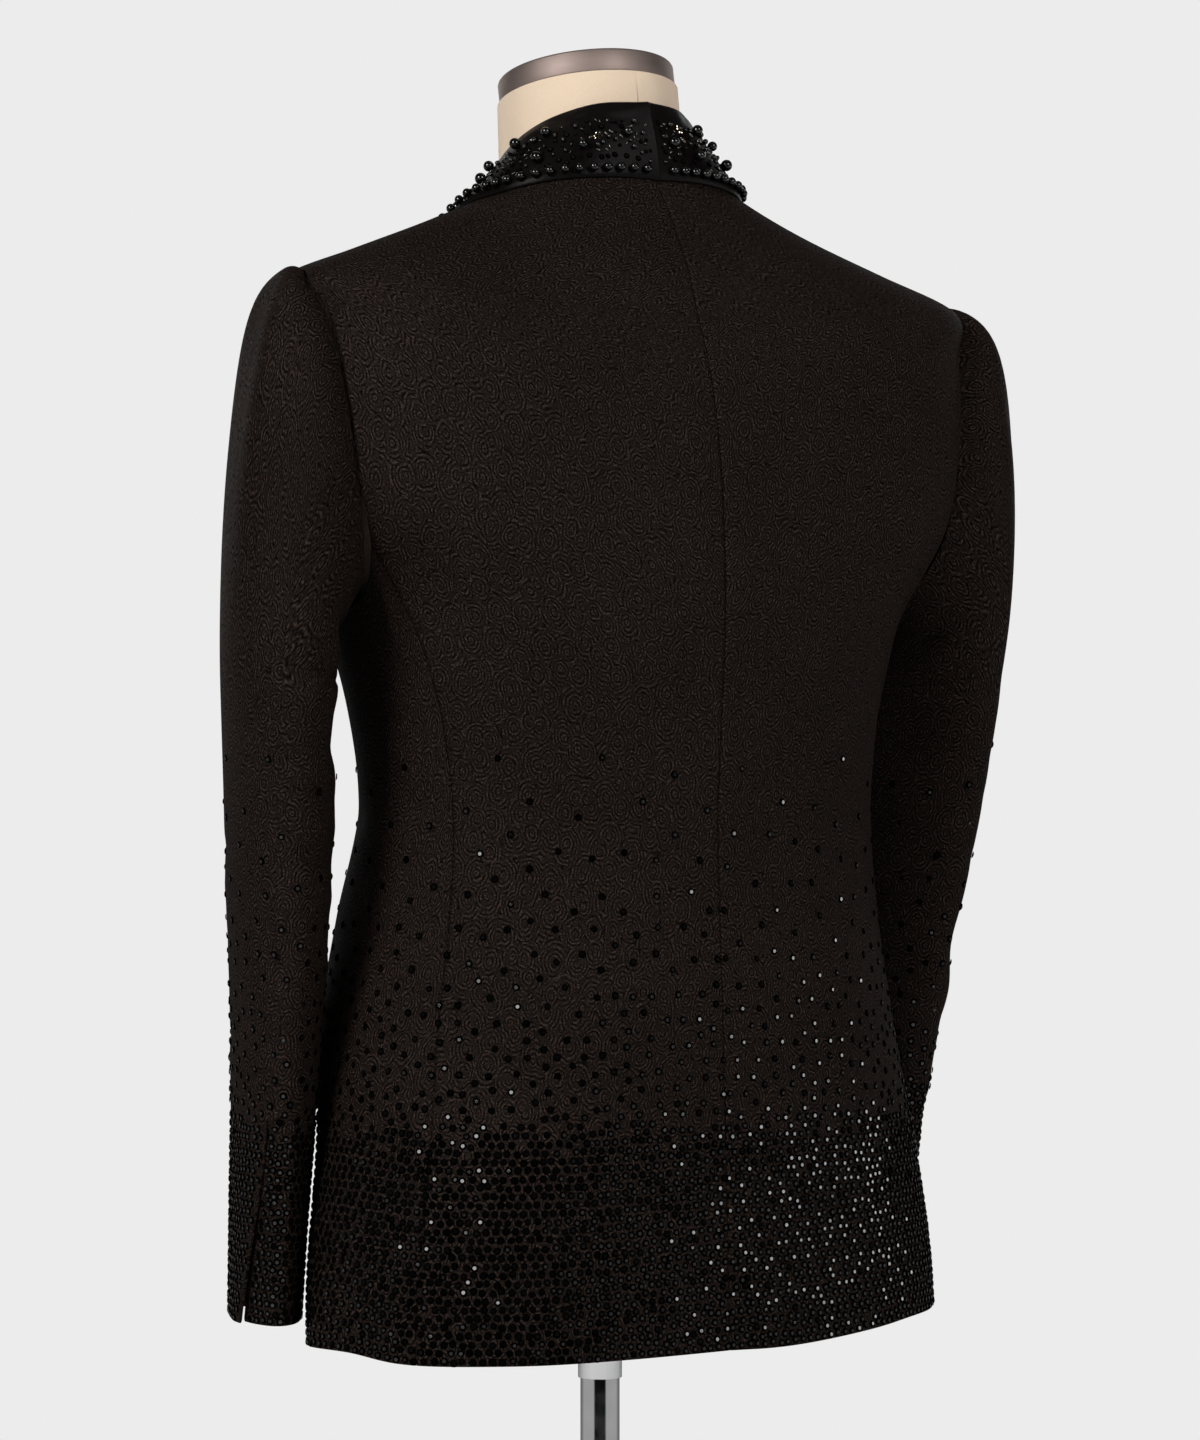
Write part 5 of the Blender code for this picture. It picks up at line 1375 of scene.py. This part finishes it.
def turned_piece(name, profile, material, centre=(0.0, 0.0, 0.0), tilt=0.0):
    """A turned piece through (radius, height) pairs, from the bottom up."""
    up = np.array([0.0, -math.sin(tilt), math.cos(tilt)])
    rings = [round_ring(radius, np.array(centre) + up * height, tilt) for radius, height in profile]
    add_stack(name + "_turned", rings, material, name)


def make_button():
    """The covered button on the left front, on its shank."""
    place = (np.array(180.0), np.array(BUTTON_LEVEL))
    facing = body_normal(*place)
    seat = body_point(*place, CLOSING_LIFT + SEAM_GAP, creased=False) - facing * BUTTON_SETTLE
    sideways = unit(np.cross(facing, np.array([0.0, 0.0, 1.0])))
    upward = np.cross(sideways, facing)
    turns = np.linspace(0.0, 2 * math.pi, BUTTON_SIDES, endpoint=False)
    around = np.cos(turns)[:, None] * sideways + np.sin(turns)[:, None] * upward
    rings = [seat + facing * height + BUTTON_RADIUS * share * around for share, height in BUTTON_PROFILE]
    add_stack("front_button_covered", rings, SATIN, "front_button")


FORM_SIDES = 144


def make_form():
    """The limbless form: hip to shoulders, then the neck. The coat rests on it along the shoulder seams."""
    turns = np.linspace(0.0, 360.0, FORM_SIDES, endpoint=False)
    angles = np.where(turns > 180.0, 360.0 - turns, turns)
    signs = np.where(turns > 180.0, -1.0, 1.0)[:, None] * np.array([1.0, 0, 0]) + np.array([0.0, 1.0, 1.0])
    sideways = np.sin(np.radians(angles)) ** 4
    table = np.array(FORM_ROWS)
    levels = finer(table[:, 0], 3 * len(table) - 2)
    side_ease = finer(table[:, 1], len(levels))
    centre_ease = finer(table[:, 2], len(levels))
    rings = []
    for level, side, centre in zip(levels, side_ease, centre_ease):
        ease = centre + (side - centre) * sideways
        rings.append(body_point(angles, np.full(FORM_SIDES, level), -(WALL + ease), creased=False) * signs)
    bottom = rings[0].copy()
    bottom[:, :2] = bottom[:, :2] * 0.94 + np.array([0.0, 0.0015])
    rings[0][:, 2], bottom[:, 2] = FORM_BOTTOM + 0.006, FORM_BOTTOM
    rings.insert(0, bottom)
    for height, radius, tilt in NECK_ROWS_OF_FORM:
        centre = (0.0, NECK_CENTRE_Y - (height - NECK_TOP) * NECK_LEAN, height)
        rings.append(round_ring(radius, centre, math.radians(tilt), FORM_SIDES))
    add_stack("form_torso_linen", rings, LINEN, "form_torso")


def make_stand():
    """The cap over the form's neck, the ferrule under it, the pole and the base."""
    cap_centre = (0.0, NECK_CENTRE_Y, NECK_TOP + SEAM_GAP / math.cos(NECK_TILT))
    turned_piece("neck_cap", CAP_PROFILE, STEEL, cap_centre, NECK_TILT)
    ferrule_top = FORM_BOTTOM - SEAM_GAP
    bore = POLE_RADIUS + 0.0003
    ferrule = ((bore, FERRULE_BOTTOM), (FERRULE_RADIUS - 0.0004, FERRULE_BOTTOM),
               (FERRULE_RADIUS, FERRULE_BOTTOM + 0.0004), (FERRULE_RADIUS, ferrule_top), (bore, ferrule_top))
    rings = np.concatenate([round_ring(radius, (0, 0, height)) for radius, height in ferrule])
    first = np.arange(ROUND_SIDES)
    after = (first + 1) % ROUND_SIDES
    last = (len(ferrule) - 1) * ROUND_SIDES
    closing = np.stack([last + first, last + after, after, first], axis=1)
    add_piece("pole_ferrule_turned", rings, [lathe_faces(len(ferrule), ROUND_SIDES), closing], CHROME,
              stands_for="pole_ferrule")
    turned_piece("pole", ((POLE_RADIUS, BOSS_TOP + SEAM_GAP), (POLE_RADIUS, ferrule_top)), CHROME)
    turned_piece("base", BASE_PROFILE, CHROME)


# ---- the coat put together --------------------------------------------------------------------------------

PANELS = (  # piece, what makes it, and the width, length and area that it was cut to
    ("back", back_panel, 0.255, 0.860, 0.1650), ("side", side_panel, 0.150, 0.520, 0.0600),
    ("front", front_panel, 0.245, 0.900, 0.1500), ("top_sleeve", sleeve_panel, 0.310, 0.700, 0.1100),
    ("under_sleeve", sleeve_panel, 0.200, 0.560, 0.0735), ("shawl", shawl_panel, 0.125, 0.650, 0.0530),
)
for side, word in ((1, "left"), (-1, "right")):
    rng = np.random.default_rng(41 + side)
    for part, build, width, length, area in PANELS:
        build(side, part + "_" + word)
    body_stones(side, word, rng)
    sleeve_stones(side, word, rng)
    collar_beads(side, word, rng)
make_button()
make_form()
make_stand()

# ---- floor, light and camera ------------------------------------------------------------------------------

VIEW = np.array([0.53, 0.848])  # level direction from the pole to the camera
CAMERA_DISTANCE = 3.0
CAMERA_HEIGHT = 1.137
PICTURE_HEIGHT = 1440.0  # pixels
FOCAL_PIXELS = 4710.0
HORIZON = 775.0  # pixels down the picture
SENSOR = 36.0

# Brightness of the room by direction. The first is round the sides, and "behind coat" is a share of it.
ROOM_SIDES = 0.36
ROOM_ABOVE = 0.08
ROOM_CEILING = 0.10
ROOM_BEHIND_CAMERA = 0.004
ROOM_BEHIND_COAT = 0.45
BACKDROP = 0.838

FLOOR_RADIUS, FLOOR_LEVEL, FLOOR_SIDES = 4.0, -0.001, 160


def add_floor():
    turns = np.linspace(0, 2 * math.pi, FLOOR_SIDES, endpoint=False)
    ring = [(FLOOR_RADIUS * math.cos(turn), FLOOR_RADIUS * math.sin(turn), FLOOR_LEVEL) for turn in turns]
    material, tree, shader = new_finish("pale_floor", Roughness=0.9)
    colour = blended(tree, handling(tree, 0.4, 3.0), (0.77, 0.77, 0.77), (0.81, 0.81, 0.81))
    tree.links.new(colour, shader.inputs["Base Color"])
    mesh = bpy.data.meshes.new("floor")
    mesh.from_pydata(ring, [], [tuple(range(FLOOR_SIDES))])
    mesh.materials.append(material)
    add_to_scene("floor", mesh)


def aim(thing, place, at):
    thing.location = place
    thing.rotation_euler = (Vector(at) - Vector(place)).to_track_quat("-Z", "Y").to_euler()


LAMPS = (  # name, degrees round from the camera to its right, distance, power, width, height, level
    ("softbox_right", 38.0, 3.0, 47.0, 0.85, 0.95, 2.8),
    ("softbox_left", -38.0, 3.0, 90.0, 0.85, 0.95, 2.8),
    ("low_strip_right", 93.0, 3.0, 8.0, 2.0, 0.3, 0.97),
    ("small_spot_1", -30.0, 3.0, 1.6, 0.28, 0.28, 1.46),
    ("small_spot_2", -21.0, 3.0, 1.6, 0.28, 0.28, 1.56),
    ("small_spot_3", -13.0, 3.0, 1.6, 0.28, 0.28, 1.42),
    ("small_spot_4", -4.0, 3.0, 1.6, 0.28, 0.28, 1.52),
    ("small_spot_5", 60.0, 3.0, 1.4, 0.28, 0.28, 1.05),
    ("small_spot_6", 70.0, 3.0, 1.4, 0.28, 0.28, 0.92),
    ("front_fill_right", 150.0, 2.6, 8.0, 1.4, 1.4, 2.0),
    ("front_fill_left", -150.0, 2.6, 8.0, 1.4, 1.4, 2.0),
)


def add_lamps():
    for name, degrees, distance, power, width, height, level in LAMPS:
        lamp = bpy.data.lights.new(name, "AREA")
        lamp.shape, lamp.size, lamp.size_y, lamp.energy = "RECTANGLE", width, height, power
        turn = math.radians(degrees)
        direction = (VIEW[0] * math.cos(turn) - VIEW[1] * math.sin(turn),
                     VIEW[0] * math.sin(turn) + VIEW[1] * math.cos(turn))
        aim(add_to_scene(name, lamp), (direction[0] * distance, direction[1] * distance, level), (0.0, 0.0, 1.10))


def add_camera():
    camera = bpy.data.cameras.new("camera")
    camera.lens, camera.sensor_width = FOCAL_PIXELS / PICTURE_HEIGHT * SENSOR, SENSOR
    camera.shift_y = (HORIZON - PICTURE_HEIGHT / 2) / PICTURE_HEIGHT
    thing = add_to_scene("camera", camera)
    bpy.context.scene.camera = thing
    aim(thing, (*(VIEW * CAMERA_DISTANCE), CAMERA_HEIGHT), (0.0, 0.0, CAMERA_HEIGHT))


def make_world():
    """A pale room: as bright as the backdrop to the camera, and dimmer from the camera's side to the coat."""
    world = bpy.data.worlds.new("studio")
    bpy.context.scene.world = world
    world.use_nodes = True
    tree = world.node_tree
    tree.nodes.clear()
    direction = node(tree, "ShaderNodeTexCoord", {}).outputs["Generated"]
    facing = vectors(tree, "DOT_PRODUCT", direction, (VIEW[0], VIEW[1], 0.0))["Value"]
    ahead = between(tree, facing, 0.76, 0.88, ROOM_SIDES, ROOM_BEHIND_CAMERA)
    round_it = between(tree, facing, -0.75, -0.25, ROOM_BEHIND_COAT, 1.0)
    height = node(tree, "ShaderNodeSeparateXYZ", {0: direction}).outputs["Z"]
    above = between(tree, height, -0.02, 0.07, 1.0, ROOM_ABOVE)
    ceiling = between(tree, height, 0.80, 0.92, 0.0, ROOM_CEILING)
    strength = sums(tree, "MULTIPLY_ADD", times(tree, ahead, round_it), above, ceiling)
    to_camera = node(tree, "ShaderNodeLightPath", {}).outputs["Is Camera Ray"]
    lit = node(tree, "ShaderNodeBackground", {"Color": (1, 1, 1, 1), "Strength": strength})
    seen = node(tree, "ShaderNodeBackground", {"Color": (BACKDROP, BACKDROP, BACKDROP, 1), "Strength": 1.0})
    mix = node(tree, "ShaderNodeMixShader", {0: to_camera, 1: lit.outputs[0], 2: seen.outputs[0]})
    node(tree, "ShaderNodeOutputWorld", {"Surface": mix.outputs[0]})


add_floor()
add_camera()
make_world()
add_lamps()
bpy.context.scene.view_settings.view_transform = "Standard"

bpy.context.view_layer.update()
